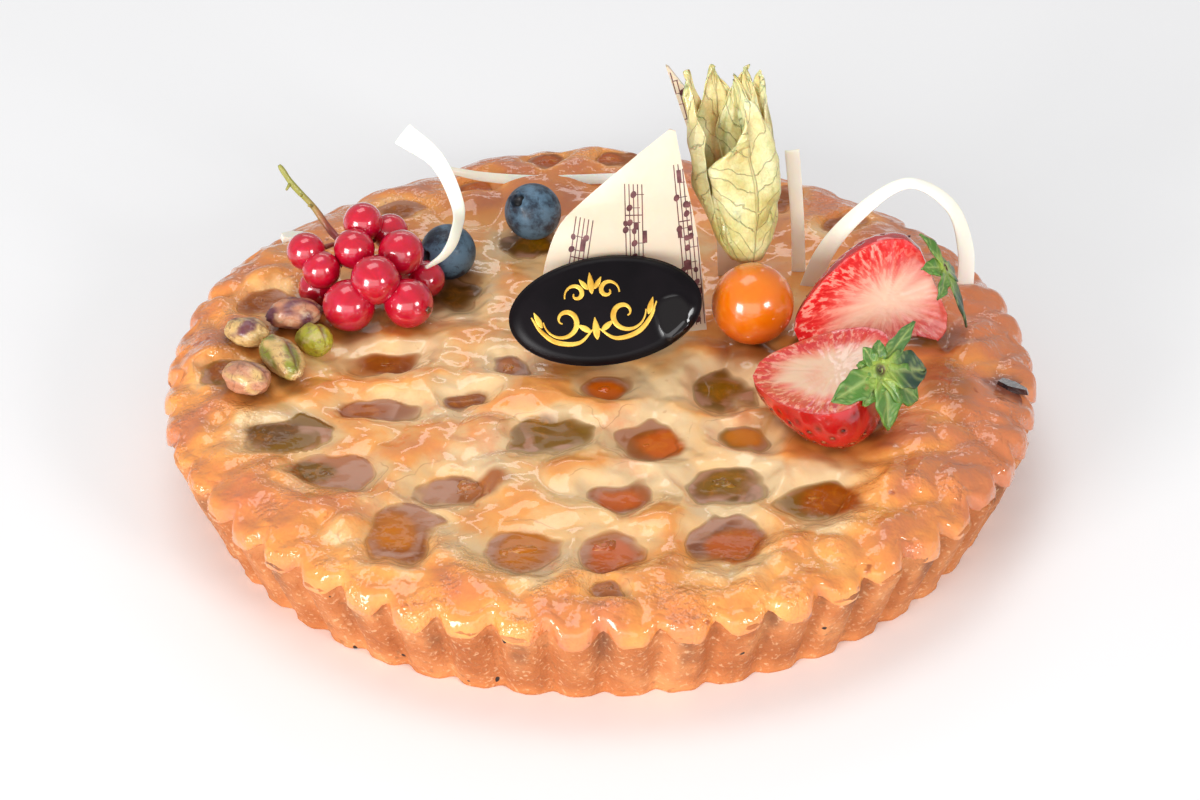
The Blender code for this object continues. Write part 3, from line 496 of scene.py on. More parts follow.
def custard_surface(places, settle):
    """Heights of the glazed top, and for each place the glaze's depth and the nearest plum."""
    push = ragged_shift(places)
    shifts = ragged_shift(PLUM_CENTRES)
    distances = plum_distances(places + push, shifts)
    nearest = distances.argmin(axis=1)
    near = distances.min(axis=1)
    flesh_shifts = 0.6 * shifts
    for number, shift in FLESH_SHIFTS.items():
        flesh_shifts[number] += shift
    core = plum_distances(places + 0.6 * push, flesh_shifts).min(axis=1)
    wrinkles = 0.18 * (np.abs(noise_at(places * (1.0, 1.6), 7.0, 1.9)) - 0.25)
    wrinkles += 0.05 * noise_at(places, 1.8, 3.1)
    wrinkles *= ease(0.9, 1.5, near)
    radius = np.hypot(places[:, 0], places[:, 1])
    front = 1 - ease(46.0, 62.0, places[:, 1])
    domes = PUFF_RISE * ease(1.2, 2.4, near) * (1 - ease(88.0, 100.0, radius)) * front
    billows = BILLOW_RISE * np.abs(noise_at(places, 8.5, 2.7)) * (0.25 + 0.75 * ease(78.0, 92.0, radius))
    billows *= ease(1.05, 1.6, near) * (0.4 + 0.6 * front)
    hollows = HOLLOW_DEPTH * (1 - ease(SOFT_FLOOR, SOFT_BRIM, near))
    custard = open_heights(places) - hollows + wrinkles + settle * (domes + billows)
    levels = POOL_LEVELS[nearest] + 0.16 * noise_at(places, 5.0, 6.6) + 0.15 * (1 - ease(0.2, 0.9, near))
    depth = np.where(near < POOL_REACH, levels - custard - 2.0 * ease(1.15, 1.6, near), -1.5)
    soft = 0.5 * (depth + np.sqrt(depth ** 2 + 0.02))
    return np.where(near < POOL_REACH, custard + soft, custard), depth, near, core, nearest


def foot_distances(points, names):
    """How far each point of the top is from the nearest of the named pieces that stand on it."""
    distances = np.full(len(points), 4 * FOOT_REACH)
    for name in names:
        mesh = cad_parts[name].data
        corners = [vertex.co for vertex in mesh.vertices]
        shape = BVHTree.FromPolygons(corners, [tuple(face.vertices) for face in mesh.polygons])
        low, high = [np.array(corner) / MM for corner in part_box(name)]
        close = np.all((points > low - FOOT_REACH) & (points < high + FOOT_REACH), axis=1)
        for i in np.flatnonzero(close):
            found = shape.find_nearest(Vector(points[i]) * MM, FOOT_REACH * MM)
            if found[3] is not None:
                distances[i] = min(distances[i], found[3] / MM)
    return distances


def custard_skin():
    """Flat places inside the fluted edge, with the edge's points first, and the faces between."""
    edge, lobe = fluted_ring(RIM_RADIUS - LIP_REACH, LIP_FLUTING * FLUTE_DEPTH)
    row_step = CUSTARD_SPACING * sqrt(3) / 2
    rows = int(RIM_RADIUS / row_step)
    half_row = int(RIM_RADIUS / CUSTARD_SPACING)
    inner = []
    for row in range(-rows, rows + 1):
        for column in range(-half_row, half_row + 1):
            x = (column + 0.5 * (row % 2)) * CUSTARD_SPACING
            y = row * row_step
            if hypot(x, y) < RIM_RADIUS - LIP_REACH - LIP_FLUTING * FLUTE_DEPTH - 0.4:
                inner.append((x, y))
    flat = [Vector(place) for place in np.vstack([edge, np.array(inner)])]
    found, _, faces, _, _, _ = delaunay_2d_cdt(flat, [], [list(range(len(edge)))], 1, 1e-6)
    return np.array([(point.x, point.y) for point in found]), [tuple(face) for face in faces], lobe


def mesh_object(name, points, faces, material, smooth=True):
    """A mesh object from millimetre points, with its normals turned outwards."""
    mesh = bpy.data.meshes.new(name)
    mesh.from_pydata([Vector(point) * MM for point in points], [], faces)
    work = bmesh.new()
    work.from_mesh(mesh)
    bmesh.ops.recalc_face_normals(work, faces=work.faces)
    work.to_mesh(mesh)
    work.free()
    mesh.materials.append(material)
    if smooth:
        mesh.shade_smooth()
    obj = bpy.data.objects.new(name, mesh)
    bpy.context.scene.collection.objects.link(obj)
    return obj


def store(mesh, name, values, kind="FLOAT"):
    """Stores a value a point on a mesh, for its material: a number, a colour or a vector."""
    layer = mesh.attributes.new(name, kind, "POINT")
    field = {"FLOAT": "value", "FLOAT_COLOR": "color", "FLOAT_VECTOR": "vector"}[kind]
    layer.data.foreach_set(field, np.asarray(values, np.float32).ravel())


def wet_film_group():
    """A normal for a glazed surface: fine ripples and small beads of glaze."""
    group, given = node_group(
        "wet_film", "ShaderNodeTree", ("Normal", "Vector"), Place="Vector", Ripple="Float", Beads="Float")
    ripple = speckle(given["Place"], 160.0, 3.0) * given["Ripple"]
    height = ripple + speckle(given["Place"], 900.0, 1.0) * given["Beads"]
    bump = put(group, "ShaderNodeBump", {"Height": height, "Strength": 1.0, "Distance": 0.001})
    put(group, "NodeGroupOutput", {0: bump})
    return group


WET_FILM = wet_film_group()


def wet_normal(look, ripple, beads):
    """The wet film's normal with its own ripple and beads."""
    values = {"Place": look.place, "Ripple": ripple, "Beads": beads}
    return put(look.tree, "ShaderNodeGroup", values, "Normal", node_tree=WET_FILM)


def custard_material():
    look = Look(
        "baked_custard", 0.35, Subsurface_Weight=0.1, Subsurface_Scale=0.003, Specular_IOR_Level=0.12,
        Coat_Roughness=0.035, Coat_IOR=1.55)
    names = ("bake", "depth", "near", "core", "shade", "film", "rim", "burnt", "contact_glaze_and_shadow")
    bake, depth, near, core, shade, film, rim, burnt, contact_glaze_and_shadow = [look.stored(name) for name in names]
    baked = bake + (look.speckle(70.0, 5.0, 0.6, 0.4) - 0.5) * 0.9
    tone = ramp(baked, (0.05, (232, 198, 150)), (0.3, (240, 190, 128)), (0.5, (242, 164, 86)),
                (0.75, (230, 144, 72)), (1.0, (206, 122, 76)))
    tone = tinted(look.speckle(52.0, 5.0, 0.65).spread(0.5, 0.7) * 0.5, tone, (226, 124, 74))
    tone = tinted(look.speckle(420.0, 2.0).spread(0.68, 0.76) * 0.3, tone, (182, 106, 52))
    waver = (look.speckle(110.0, 3.0) - 0.5) * 0.7
    # Painted shade: a thin, broken darker line along the crease at the brim of each hollow.
    crease = 1.0 - abs(near + waver - 1.5).spread(0.004, 0.035)
    tone = tinted(crease * look.speckle(62.0, 2.0).spread(0.5, 0.62) * 0.35, tone, (158, 92, 46))
    tone = tinted(film * 0.7, tone, (156, 88, 30))
    # Darkest brown right where things stand: the glaze's dark core, with a painted contact shadow.
    tone = tinted(contact_glaze_and_shadow * 0.85, tone, (84, 44, 14))
    tone = tinted(look.speckle(190.0, 3.0).spread(0.66, 0.74) * rim * 0.7, tone, (150, 62, 24))
    tone = tinted(burnt * 0.8, tone, (96, 46, 44))
    tone = tinted(1.0 - 0.12 ** depth.most(0.0), tone, look.stored("pool", "Color"))
    sunk = 1.0 - (core + waver).spread(0.5, 0.9)
    threads = look.speckle(230.0, 5.0, 0.65, 0.8).spread(0.45, 0.72)
    fibre = tinted(threads * 0.32, look.stored("flesh", "Color"), (222, 132, 16))
    deep = (core + waver).spread(0.3, 0.9) * 0.35
    tone = tinted(sunk, tone, tinted(deep, fibre, (122, 62, 16)))
    # Painted reflection: milky mauve patches over the deeper glaze, weaker over the sunk flesh.
    painted_reflection = look.speckle(80.0, 2.0, 0.5, 1.0).spread(0.44, 0.56) * depth.spread(0.35, 0.8)
    tone = tinted(painted_reflection * (0.8 - sunk * 0.72), tone, (184, 132, 106))
    # Painted shade: a dark line along the edge of each pool, strongest on the pool's front side.
    line = (1.0 - abs(depth - 0.1).spread(0.02, 0.3)) * shade
    tone = tinted(line * 0.42, tone, (112, 62, 26))
    dry = 1.0 - depth.spread(-0.3, 0.1)
    ripple = dry * 0.1 + 0.06 + rim * 0.9
    beads = dry * rim * (look.speckle(75.0, 3.0).spread(0.5, 0.62) * 0.55 + 0.06)
    normal = wet_normal(look, ripple, beads)
    coat = 1.0 - (1.0 - dry) * 0.72
    return look.done(Base_Color=tone, Coat_Weight=coat, Normal=normal, Coat_Normal=normal)


def custard_lip(shoulders, lobe):
    """Rings of points from the top's edge, over the crust's rim and down inside the case."""
    angles = np.arange(len(lobe)) * tau / len(lobe)
    ways = [(sin(angle), cos(angle)) for angle in angles]
    lumps = [wobble(5 * x, 5 * y, 0.4) + 0.6 * wobble(16 * x, 16 * y, 7.4) for x, y in ways]
    lumps = np.clip(lumps, -1.0, 0.6)
    rings = []
    for step in range(1, LIP_STEPS + 1):
        turn = step / LIP_STEPS * pi / 2
        out = sin(turn)
        reach = LIP_REACH - (LIP_REACH - 0.4) * out
        outer, _ = fluted_ring(RIM_RADIUS - reach, (LIP_FLUTING + 0.3 * out) * FLUTE_DEPTH)
        ring = []
        for (x, y), shoulder, fullness, lump in zip(outer, shoulders, lobe, lumps):
            low = CASE_HEIGHT + 0.5 - LIP_DROP * fullness * (1 + 0.7 * lump)
            swell = 1 - 0.0045 + 0.0085 * lump * out
            drop = 1 - max(cos(turn), 0.0) ** LIP_FULLNESS
            ring.append((x * swell, y * swell, shoulder + (low - shoulder) * drop))
        rings.append(ring)
    rings.append([(x * 0.993, y * 0.993, z - 0.5) for x, y, z in rings[-1]])
    inner, _ = fluted_ring(RIM_RADIUS - 1.6, FLUTE_DEPTH)
    rings.append([(x * 0.975, y * 0.975, CASE_HEIGHT - 0.5) for x, y in inner])
    rings.append([(FLOOR_RADIUS * sin(a), -FLOOR_RADIUS * cos(a), FLOOR_THICKNESS + 0.3) for a in angles])
    return rings


def custard_filling():
    places, faces, lobe = custard_skin()
    seats = np.column_stack([places, open_heights(places)])
    feet = foot_distances(seats, GLAZED_FEET)
    burnt = foot_distances(seats, ("charred_bit",))
    heights, depth, near, core, nearest = custard_surface(places, ease(1.0, 7.0, np.minimum(feet, burnt)))
    heights = heights + FOOT_CLIMB * np.exp(-feet / 0.9)
    points = [(x, y, z) for (x, y), z in zip(places, heights)]
    count = len(lobe)
    above = list(range(count))
    for ring in custard_lip(heights, lobe):
        below = list(range(len(points), len(points) + count))
        points.extend(ring)
        for i in range(count):
            k = (i + 1) % count
            faces.append((below[i], below[k], above[k], above[i]))
        above = below
    points.append((0, 0, FLOOR_THICKNESS + 0.3))
    for i in range(count):
        faces.append((above[(i + 1) % count], above[i], len(points) - 1))
    obj = mesh_object("custard_top", points, faces, custard_material())
    extra = len(points) - len(places)
    radius = np.hypot(places[:, 0], places[:, 1])
    domes = np.abs(noise_at(places, PUFF_WIDTH, PUFF_SEED))
    bake = 0.1 + 0.3 * ease(*BROWNING_RADII, radius) + 0.2 * ease(0.08, 0.45, domes) * ease(1.1, 1.9, near)
    bake += 0.3 * ease(1.25, 2.3, near) + 0.3 * noise_at(places, 13.0, 5.5)
    bake += 0.22 * ease(40.0, 95.0, places[:, 1]) + 0.3 * ease(50.0, 95.0, places[:, 0])
    film = 1 - ease(1.5, 6.5, feet + 2.5 * noise_at(places, 5.0, 41.3))
    for spot in GLAZE_SPOTS:
        reach = oval_distance(places, *spot) + 0.3 * noise_at(places, 6.0, 31.3)
        film = np.maximum(film, 1 - ease(0.5, 1.1, reach))
    behind = PLUM_CENTRES[nearest][:, 1] - places[:, 1]
    for name, values, lip in (
        ("bake", bake, np.tile(bake[:count], extra // count + 1)[:extra]),
        ("film", film, 0.0),
        # Painted contact shadow with the glaze's dark core, right at the feet of things.
        ("contact_glaze_and_shadow", 1 - ease(0.2, 2.6, feet + 1.2 * noise_at(places, 4.0, 61.3)), 0.0),
        ("burnt", 1 - ease(0.3, 5.0, burnt + 2.0 * noise_at(places, 3.0, 51.3)), 0.0),
        ("depth", depth, -1.5),
        ("near", np.minimum(near, 4.0), 4.0),
        ("core", np.minimum(core, 4.0), 4.0),
        ("rim", ease(76.0, 92.0, radius), 1.0),
        # Which side of its plum a place lies on, strongest in front, for the painted shade along the pools'
        # edges.
        ("shade", 0.15 + 0.85 * ease(-3.0, 4.0, behind), 0.0),
    ):
        store(obj.data, name, np.concatenate([values, np.full(extra, lip)]))
    for name, column in (("flesh", 6), ("pool", 7)):
        tones = np.array([plum[column] for plum in PLUMS])[nearest]
        store(obj.data, name, np.vstack([tones, np.tile(BROWN, (extra, 1))]), "FLOAT_COLOR")
    return obj


custard = custard_filling()
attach(custard, "root")
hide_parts("custard_filling")


# Plum halves.
# Mirabelles, halved and stoned, which sank into the custard and cooked until their flesh went soft
# and clear. Some show their round back, some their dished cut side, all under the glaze.

PLUM_HEIGHT = 10.5
PLUM_COLUMNS = 48
PLUM_ROWS = 30
CAP_RISE = 0.6


class Skin:
    """Points and faces of a piece while it is put together, in millimetres."""

    def __init__(self):
        self.points = []
        self.faces = []

    def stack(self, rows):
        """Adds rows of points round an axis, lowest first, and a pole point at each end."""
        start = len(self.points)
        width = len(rows[0])
        for row in rows:
            self.points.extend(row)
        for i in range(len(rows) - 1):
            for j in range(width):
                k = (j + 1) % width
                a = start + i * width
                self.faces.append((a + j, a + k, a + width + k, a + width + j))
        for row, flip in ((0, True), (len(rows) - 1, False)):
            ring = [start + row * width + j for j in range(width)]
            middle = len(self.points)
            self.points.append(tuple(np.mean([self.points[i] for i in ring], axis=0)))
            for a, b in zip(ring, ring[1:] + ring[:1]):
                self.faces.append((b, a, middle) if flip else (a, b, middle))
        return self.points[start:]

    def sheet(self, rows, thickness):
        """Adds a thin closed sheet on a grid of points."""
        height = len(rows)
        width = len(rows[0])
        start = len(self.points)
        count = height * width
        for side in (0.5, -0.5):
            for i in range(height):
                for j in range(width):
                    up = rows[min(i + 1, height - 1)][j] - rows[max(i - 1, 0)][j]
                    along = rows[i][min(j + 1, width - 1)] - rows[i][max(j - 1, 0)]
                    self.points.append(tuple(rows[i][j] + along.cross(up).normalized() * thickness * side))
        for i in range(height - 1):
            for j in range(width - 1):
                a = start + i * width + j
                front = (a, a + 1, a + width + 1, a + width)
                self.faces.append(front)
                self.faces.append(tuple(corner + count for corner in front[::-1]))
        rim = [(0, j) for j in range(width)] + [(i, width - 1) for i in range(1, height)]
        rim += [(height - 1, j) for j in range(width - 2, -1, -1)]
        rim += [(i, 0) for i in range(height - 2, 0, -1)]
        rim = [start + i * width + j for i, j in rim]
        for a, b in zip(rim, rim[1:] + rim[:1]):
            self.faces.append((a + count, b + count, b, a))

    def piece(self, name, material, smooth=True):
        return mesh_object(name, self.points, self.faces, material, smooth)


def plum_rows(number, plum):
    """Points of one plum half in rows from its underside to its top."""
    x, y, length, width, turn, dish, _, _ = plum
    height = min(PLUM_HEIGHT, 0.95 * width)
    top = POOL_LEVELS[number - 1] + CAP_RISE + 0.6 * wobble(number * 1.37, 0.5, 0.5)
    spin = radians(turn)
    seed = Vector((number * 3.7, 0, 0))
    rows = []
    for row in range(PLUM_ROWS):
        tilt = pi * (row + 1) / (PLUM_ROWS + 1)
        line = []
        for column in range(PLUM_COLUMNS):
            angle = tau * column / PLUM_COLUMNS
            way = Vector((sin(tilt) * cos(angle), sin(tilt) * sin(angle), -cos(tilt)))
            bump = 0.92 + 0.16 * noise.noise(way * 1.7 + seed) + 0.06 * noise.noise(way * 5.0 + seed)
            crease = 0.5 * abs(noise.noise(way * Vector((2.4, 6.0, 2.4)) + seed))
            across = way.x * bump * length / 2
            deep = way.y * bump * width / 2
            up = way.z * bump * height / 2
            if way.z > 0:
                up -= dish * 1.4 * exp(-((hypot(way.x, way.y) / 0.42) ** 2)) + crease * 0.6
            line.append((
                x + across * cos(spin) - deep * sin(spin),
                y + across * sin(spin) + deep * cos(spin),
                top - height / 2 + up,
            ))
        rows.append(line)
    return rows


def plum_material():
    look = Look(
        "mirabelle_flesh", 0.25, Subsurface_Weight=0.3, Subsurface_Scale=0.003, Specular_IOR_Level=0.15,
        Coat_Weight=1.0, Coat_Roughness=0.03, Coat_IOR=1.42)
    light = look.speckle(240.0, 5.0, 0.65, 0.6).spread(0.48, 0.7) * 0.45
    tone = tinted(light, look.stored("flesh", "Color"), (232, 164, 62))
    tone = tinted(look.speckle(130.0, 3.0).spread(0.52, 0.7) * 0.5, tone, (116, 62, 18))
    return look.done(Base_Color=tone, Normal=wet_normal(look, 0.25, 0.05))


plum_skin = Skin()
plum_tones = []
for plum_number, plum in enumerate(PLUMS, start=1):
    plum_tones += [plum[6]] * len(plum_skin.stack(plum_rows(plum_number, plum)))
plums = plum_skin.piece("plum_halves", plum_material())
store(plums.data, "flesh", plum_tones, "FLOAT_COLOR")
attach(plums, "root")
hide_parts(*[f"mirabelle_{number:02d}" for number in range(1, len(PLUMS) + 1)])


# Currant truss.
# Twelve redcurrants on one green stalk, dipped in glaze: thin clear pink-red skin, and the dried
# rest of the flower at the far end of each berry.

CURRANTS = (
    (-60.4, 36.0, 44.6, 9.5),
    (-53.8, 38.0, 40.4, 9.0),
    (-62.3, 28.0, 41.3, 9.8),
    (-50.4, 28.0, 40.1, 11.0),
    (-74.6, 28.0, 40.8, 9.2),
    (-70.6, 24.0, 37.6, 9.2),
    (-56.4, 17.0, 38.6, 11.7),
    (-63.2, 15.0, 32.4, 12.5),
    (-48.2, 16.0, 32.2, 11.8),
    (-72.4, 27.0, 30.4, 9.3),
    (-44.6, 30.0, 30.8, 9.3),
    (-55.8, 26.0, 34.6, 10.3),
)
OPEN_FLOWER = 8
TRUSS_STEM = ((-81.7, 44.0, 57.3), (-78.5, 43.0, 52.0), (-73.7, 42.0, 46.2), (-69.3, 39.0, 40.6),
              (-64.5, 33.0, 38.5), (-58.5, 25.0, 35.2))
STEM_STUBS = ((7, 2.6), (12, 1.8), (16, 2.2))
STEM_TIP_RADIUS = 0.7
STEM_RADIUS = 1.15
PEDICEL_RADIUS = 0.6
CURRANT_FULLNESS = 1.08
CURRANT_SIDES = 28
FLOWER_PROFILE = ((0.5, 0.0), (0.75, 0.35), (0.6, 0.8), (0.95, 1.4), (0.25, 1.2))
CURRANT_RED = colour(184, 7, 40)
FLOWER_BROWN = colour(84, 44, 22)
STALK_GREEN = colour(158, 156, 72)
STALK_PINK = colour(166, 62, 58)


def rise(low, high, value):
    """The same smooth rise as ease, for one number."""
    return float(ease(low, high, value))


def mix(first, second, share):
    """A tone between two others."""
    return [a * (1 - share) + b * share for a, b in zip(first, second)]


def smooth_path(controls, steps):
    """Points on a smooth curve through the controls, which may have any number of values each."""
    points = [Vector(control) for control in controls]
    ends = [points[0] * 2 - points[1], *points, points[-1] * 2 - points[-2]]
    path = []
    for before, start, end, after in zip(ends, ends[1:], ends[2:], ends[3:]):
        for step in range(steps):
            t = step / steps
            bend = (2 * before - 5 * start + 4 * end - after) * t ** 2
            twist = (3 * start - before - 3 * end + after) * t ** 3
            path.append(0.5 * (2 * start + (end - before) * t + bend + twist))
    return [*path, points[-1]]


def turned_rows(profile, sides, place, way, shape=None):
    """Rows of points of a body turned about a direction; shape may change a radius by row and angle."""
    turn = Vector((0, 0, 1)).rotation_difference(Vector(way).normalized()).to_matrix()
    rows = []
    for i, (radius, height) in enumerate(profile):
        row = []
        for j in range(sides):
            angle = tau * j / sides
            reach = radius * (shape(i, angle) if shape else 1.0)
            row.append(tuple(Vector(place) + turn @ Vector((reach * cos(angle), reach * sin(angle), height))))
        rows.append(row)
    return rows


def ball_profile(radius, rows):
    """Radius and height pairs of a ball, from its lowest row up."""
    tilts = [pi * (row + 0.6) / (rows + 0.2) for row in range(rows)]
    return [(radius * sin(tilt), -radius * cos(tilt)) for tilt in tilts]


def path_way(path, i):
    """The direction of a path at one of its points."""
    return (path[min(i + 1, len(path) - 1)] - path[max(i - 1, 0)]).normalized()


def tube_rows(path, radii, sides):
    """Rows of points of a round rod along a path."""
    rows = []
    side = Vector((0.3, 1.0, 0.2))
    for i, point in enumerate(path):
        way = path_way(path, i)
        side = (side - way * side.dot(way)).normalized()
        other = way.cross(side)
        angles = [tau * k / sides for k in range(sides)]
        rows.append([tuple(point + (side * cos(a) + other * sin(a)) * radii[i]) for a in angles])
    return rows


def fruit_material(name, roughness, subsurface, depth, coat, streak_scale, streak_tone, streak_share):
    """Juicy skin under a glossy coat, its own colour read from the mesh, with soft paler streaks."""
    look = Look(name, roughness, Subsurface_Weight=subsurface, Subsurface_Scale=depth, Coat_Weight=coat,
                Coat_Roughness=0.04)
    streaks = look.speckle(streak_scale, 3.0, 0.6).spread(0.45, 0.75)
    tone = tinted(streaks * streak_share, look.stored("skin", "Color"), streak_tone)
    return look.done(Base_Color=tone, Normal=wet_normal(look, 0.06, 0.01))


def currant_truss():
    """The berries with their dried flowers, and the stalk with a thin rod to each berry."""
    path = smooth_path(TRUSS_STEM, 8)
    last = len(path) - 1
    radii = [STEM_TIP_RADIUS + (STEM_RADIUS - STEM_TIP_RADIUS) * i / last for i in range(last + 1)]
    radii = [radius * (1 + 0.18 * noise.noise(point * 0.35)) for radius, point in zip(radii, path)]
    radii[0] = 0.45
    rods = [(path, radii)]
    for i, length in STEM_STUBS:
        side = Vector((-0.4, -0.8, -0.4 if i % 2 else 0.5)).normalized()
        rods.append(([path[i], path[i] + side * length * 0.6, path[i] + side * length], [0.55, 0.4, 0.3]))
    berries = Skin()
    tones = []
    for berry, (x, y, z, diameter) in enumerate(CURRANTS):
        centre = Vector((x, y, z))
        nearest = min(path[last // 2:], key=lambda point: (point - centre).length)
        way = (centre - nearest).normalized()
        radius = diameter / 2 * CURRANT_FULLNESS
        start = centre - way * radius * 0.96
        rods.append(([nearest, nearest.lerp(start, 0.5) + Vector((0, 0, 0.4)), start],
                     [PEDICEL_RADIUS * 0.8, PEDICEL_RADIUS, PEDICEL_RADIUS * 1.3]))
        lobes = lambda i, angle: 1 + 0.012 * cos(5 * angle)
        rows = turned_rows(ball_profile(radius, 18), CURRANT_SIDES, centre, way, lobes)
        for k, point in enumerate(berries.stack(rows)):
            stripe = 0.88 + 0.2 * abs(sin(5 * tau * (k % CURRANT_SIDES) / CURRANT_SIDES))
            # Painted light and shade: each berry lighter on its upper half and darker below.
            lift = 0.85 + 0.3 * ease(-radius, radius, point[2] - z)
            tones.append([*(channel * stripe * lift for channel in CURRANT_RED[:3]), 1.0])
        hidden = Vector((way.x * 0.4, 0.35 + abs(way.y), -0.7)).normalized()
        out = Vector((0.72, -0.55, 0.05)) if berry == OPEN_FLOWER else hidden
        jag = lambda i, angle: 1 + (0.3 * cos(5 * angle) if i > 2 else 0)
        rows = turned_rows(FLOWER_PROFILE, 10, centre + out * radius * 0.95, out, jag)
        tones += [FLOWER_BROWN] * len(berries.stack(rows))
    stalk = Skin()
    for rod in rods:
        stalk.stack(tube_rows(*rod, 10))
    stalk_tones = [mix(STALK_GREEN, STALK_PINK, rise(-77.0, -68.0, point[0])) for point in stalk.points]
    pieces = (
        berries.piece("currants", fruit_material(
            "currant_skin", 0.2, 0.3, 0.003, 1.0, 300.0, (214, 34, 84), 0.35)),
        stalk.piece("currant_stalk", fruit_material(
            "currant_stalk", 0.45, 0.1, 0.001, 0.3, 700.0, (120, 110, 50), 0.5)),
    )
    for piece, skin_tones in zip(pieces, (tones, stalk_tones)):
        store(piece.data, "skin", skin_tones, "FLOAT_COLOR")
    return pieces


currants, currant_stalk = currant_truss()
for piece in (currants, currant_stalk):
    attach(piece, "root")
    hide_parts("currant_truss")


# Blueberries.
# Two fresh blueberries set on the glaze: blue-black skin under a grey waxy bloom that is rubbed off
# in places, and a five-pointed crown round a dark dimple.

# Place, diameter and the way that the crown points
BLUEBERRIES = {
    "blueberry_back": ((-17.2, 58.8), 15.2, (-0.55, -0.45, 0.75)),
    "blueberry_left": ((-39.2, 40.6), 14.6, (-0.75, -0.6, 0.15)),
}
BLUEBERRY_SEAT = 1.9
CROWN_PROFILE = ((0.36, 0.985), (0.31, 1.01), (0.26, 0.94), (0.2, 0.8), (0.1, 0.74))
CROWN_ROW = 33


def blueberry_material():
    look = Look("blueberry_skin", 0.5, Coat_Weight=0.12, Coat_Roughness=0.2)
    bloom = look.speckle(190.0, 5.0, 0.65).spread(0.36, 0.62)
    tone = tinted(bloom, (24, 36, 54), (88, 120, 144))
    scuffs = look.speckle(420.0, 4.0, 0.6, 1.2).spread(0.56, 0.66)
    tone = tinted(scuffs * 0.55, tone, (34, 44, 66))
    # Painted shade: near black inside the crown's dimple, over the crown's own dark skin.
    tone = tinted(look.stored("cavity"), tone, (14, 14, 20))
    return look.done(Base_Color=tone, Normal=look.bump(scuffs, 0.25, 0.0003))


BLUEBERRY_MATERIAL = blueberry_material()
for berry_name, ((x, y), diameter, crown_way) in BLUEBERRIES.items():
    radius = diameter / 2
    profile = ball_profile(radius, 40)[:CROWN_ROW]
    profile += [(reach * radius, height * radius) for reach, height in CROWN_PROFILE]
    crown = lambda i, angle: 1 + (0.16 * cos(5 * angle) if i in (CROWN_ROW, CROWN_ROW + 1) else 0.0)
    centre = Vector((x, y, custard_height(x, y) + BLUEBERRY_SEAT + radius))
    berry_skin = Skin()
    berry_skin.stack(turned_rows(profile, 48, centre, crown_way, crown))
    berry = berry_skin.piece(f"{berry_name}_fruit", BLUEBERRY_MATERIAL)
    reaches = np.array([(Vector(point) - centre).length / radius for point in berry_skin.points])
    # Where the crown's dimple gets its painted shade.
    store(berry.data, "cavity", 1 - ease(0.84, 0.97, reaches))
    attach(berry, "root")
    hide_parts(berry_name)


# Physalis.
# A ripe orange berry with a waxy shine, and its dry husk turned up behind it: thin papery leaves,
# pleated, folded and torn at the tips, with a net of fine veins.

PHYSALIS_PLACE = (38.5, 6.6)
PHYSALIS_LIFT = 0.4
PHYSALIS_RADIUS = 10.3
PHYSALIS_SHADED_BOTTOM = colour(200, 80, 2)
PHYSALIS_LIT_TOP = colour(228, 116, 4)
HUSK_BASE = Vector((37.6, 20.2, 42.0))
HUSK_TOP = Vector((31.8, 27.5, 90.2))
HUSK_PAPER = 0.3
HUSK_LEAF_ROWS = 56
HUSK_LEAF_COLUMNS = 30
HUSK_SPLIT = 0.74
HUSK_BUD = ((1.6, -1.4), (2.9, -0.6), (3.3, 0.6), (2.6, 1.8), (1.0, 2.4))

# Share of the husk's height, half width and half depth
HUSK_RINGS = ((0.0, 4.2, 3.0), (0.1, 7.0, 3.8), (0.38, 10.8, 5.0), (0.62, 10.8, 5.2), (0.8, 9.8, 4.6),
              (1.0, 9.6, 4.4))

# Husk leaves: middle direction and half spread in degrees, top, how much lower its left edge ends,
# layer, how far the tip leans out, and how blunt it is
HUSK_LEAVES = (
    (108, 52, 1.0, 0.05, 0.96, -0.05, 0.9),
    (76, 40, 0.91, -0.05, 0.84, 0.0, 0.8),
    (52, 44, 0.98, 0.04, 0.93, 0.02, 0.5),
    (174, 48, 0.95, -0.1, 1.0, 0.04, 0.8),
    (10, 56, 0.96, 0.08, 1.0, 0.0, 0.6),
    (236, 42, 0.44, 0.1, 0.92, -0.1, 0.6),
    (290, 58, 0.84, 0.22, 1.03, 0.12, 0.7),
)

physalis_centre = Vector((*PHYSALIS_PLACE, custard_height(*PHYSALIS_PLACE) + PHYSALIS_RADIUS + PHYSALIS_LIFT))
dimples = lambda i, angle: 1 + 0.008 * cos(4 * angle + i * 0.1)
physalis_ball = ball_profile(PHYSALIS_RADIUS, 36)
physalis_skin = Skin()
physalis_skin.stack(turned_rows(physalis_ball, 56, physalis_centre, (0.1, 0.5, 0.9), dimples))
physalis = physalis_skin.piece(
    "physalis_fruit", fruit_material("physalis_skin", 0.22, 0.3, 0.004, 0.8, 150.0, (232, 132, 14), 0.4))
# Painted light and shade: the berry darker orange at its bottom and lighter towards its top.
store(physalis.data, "skin", [
    mix(PHYSALIS_SHADED_BOTTOM, PHYSALIS_LIT_TOP, rise(-9.0, 8.0, point[2] - physalis_centre.z))
    for point in physalis_skin.points], "FLOAT_COLOR")
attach(physalis, "root")
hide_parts("physalis_berry")


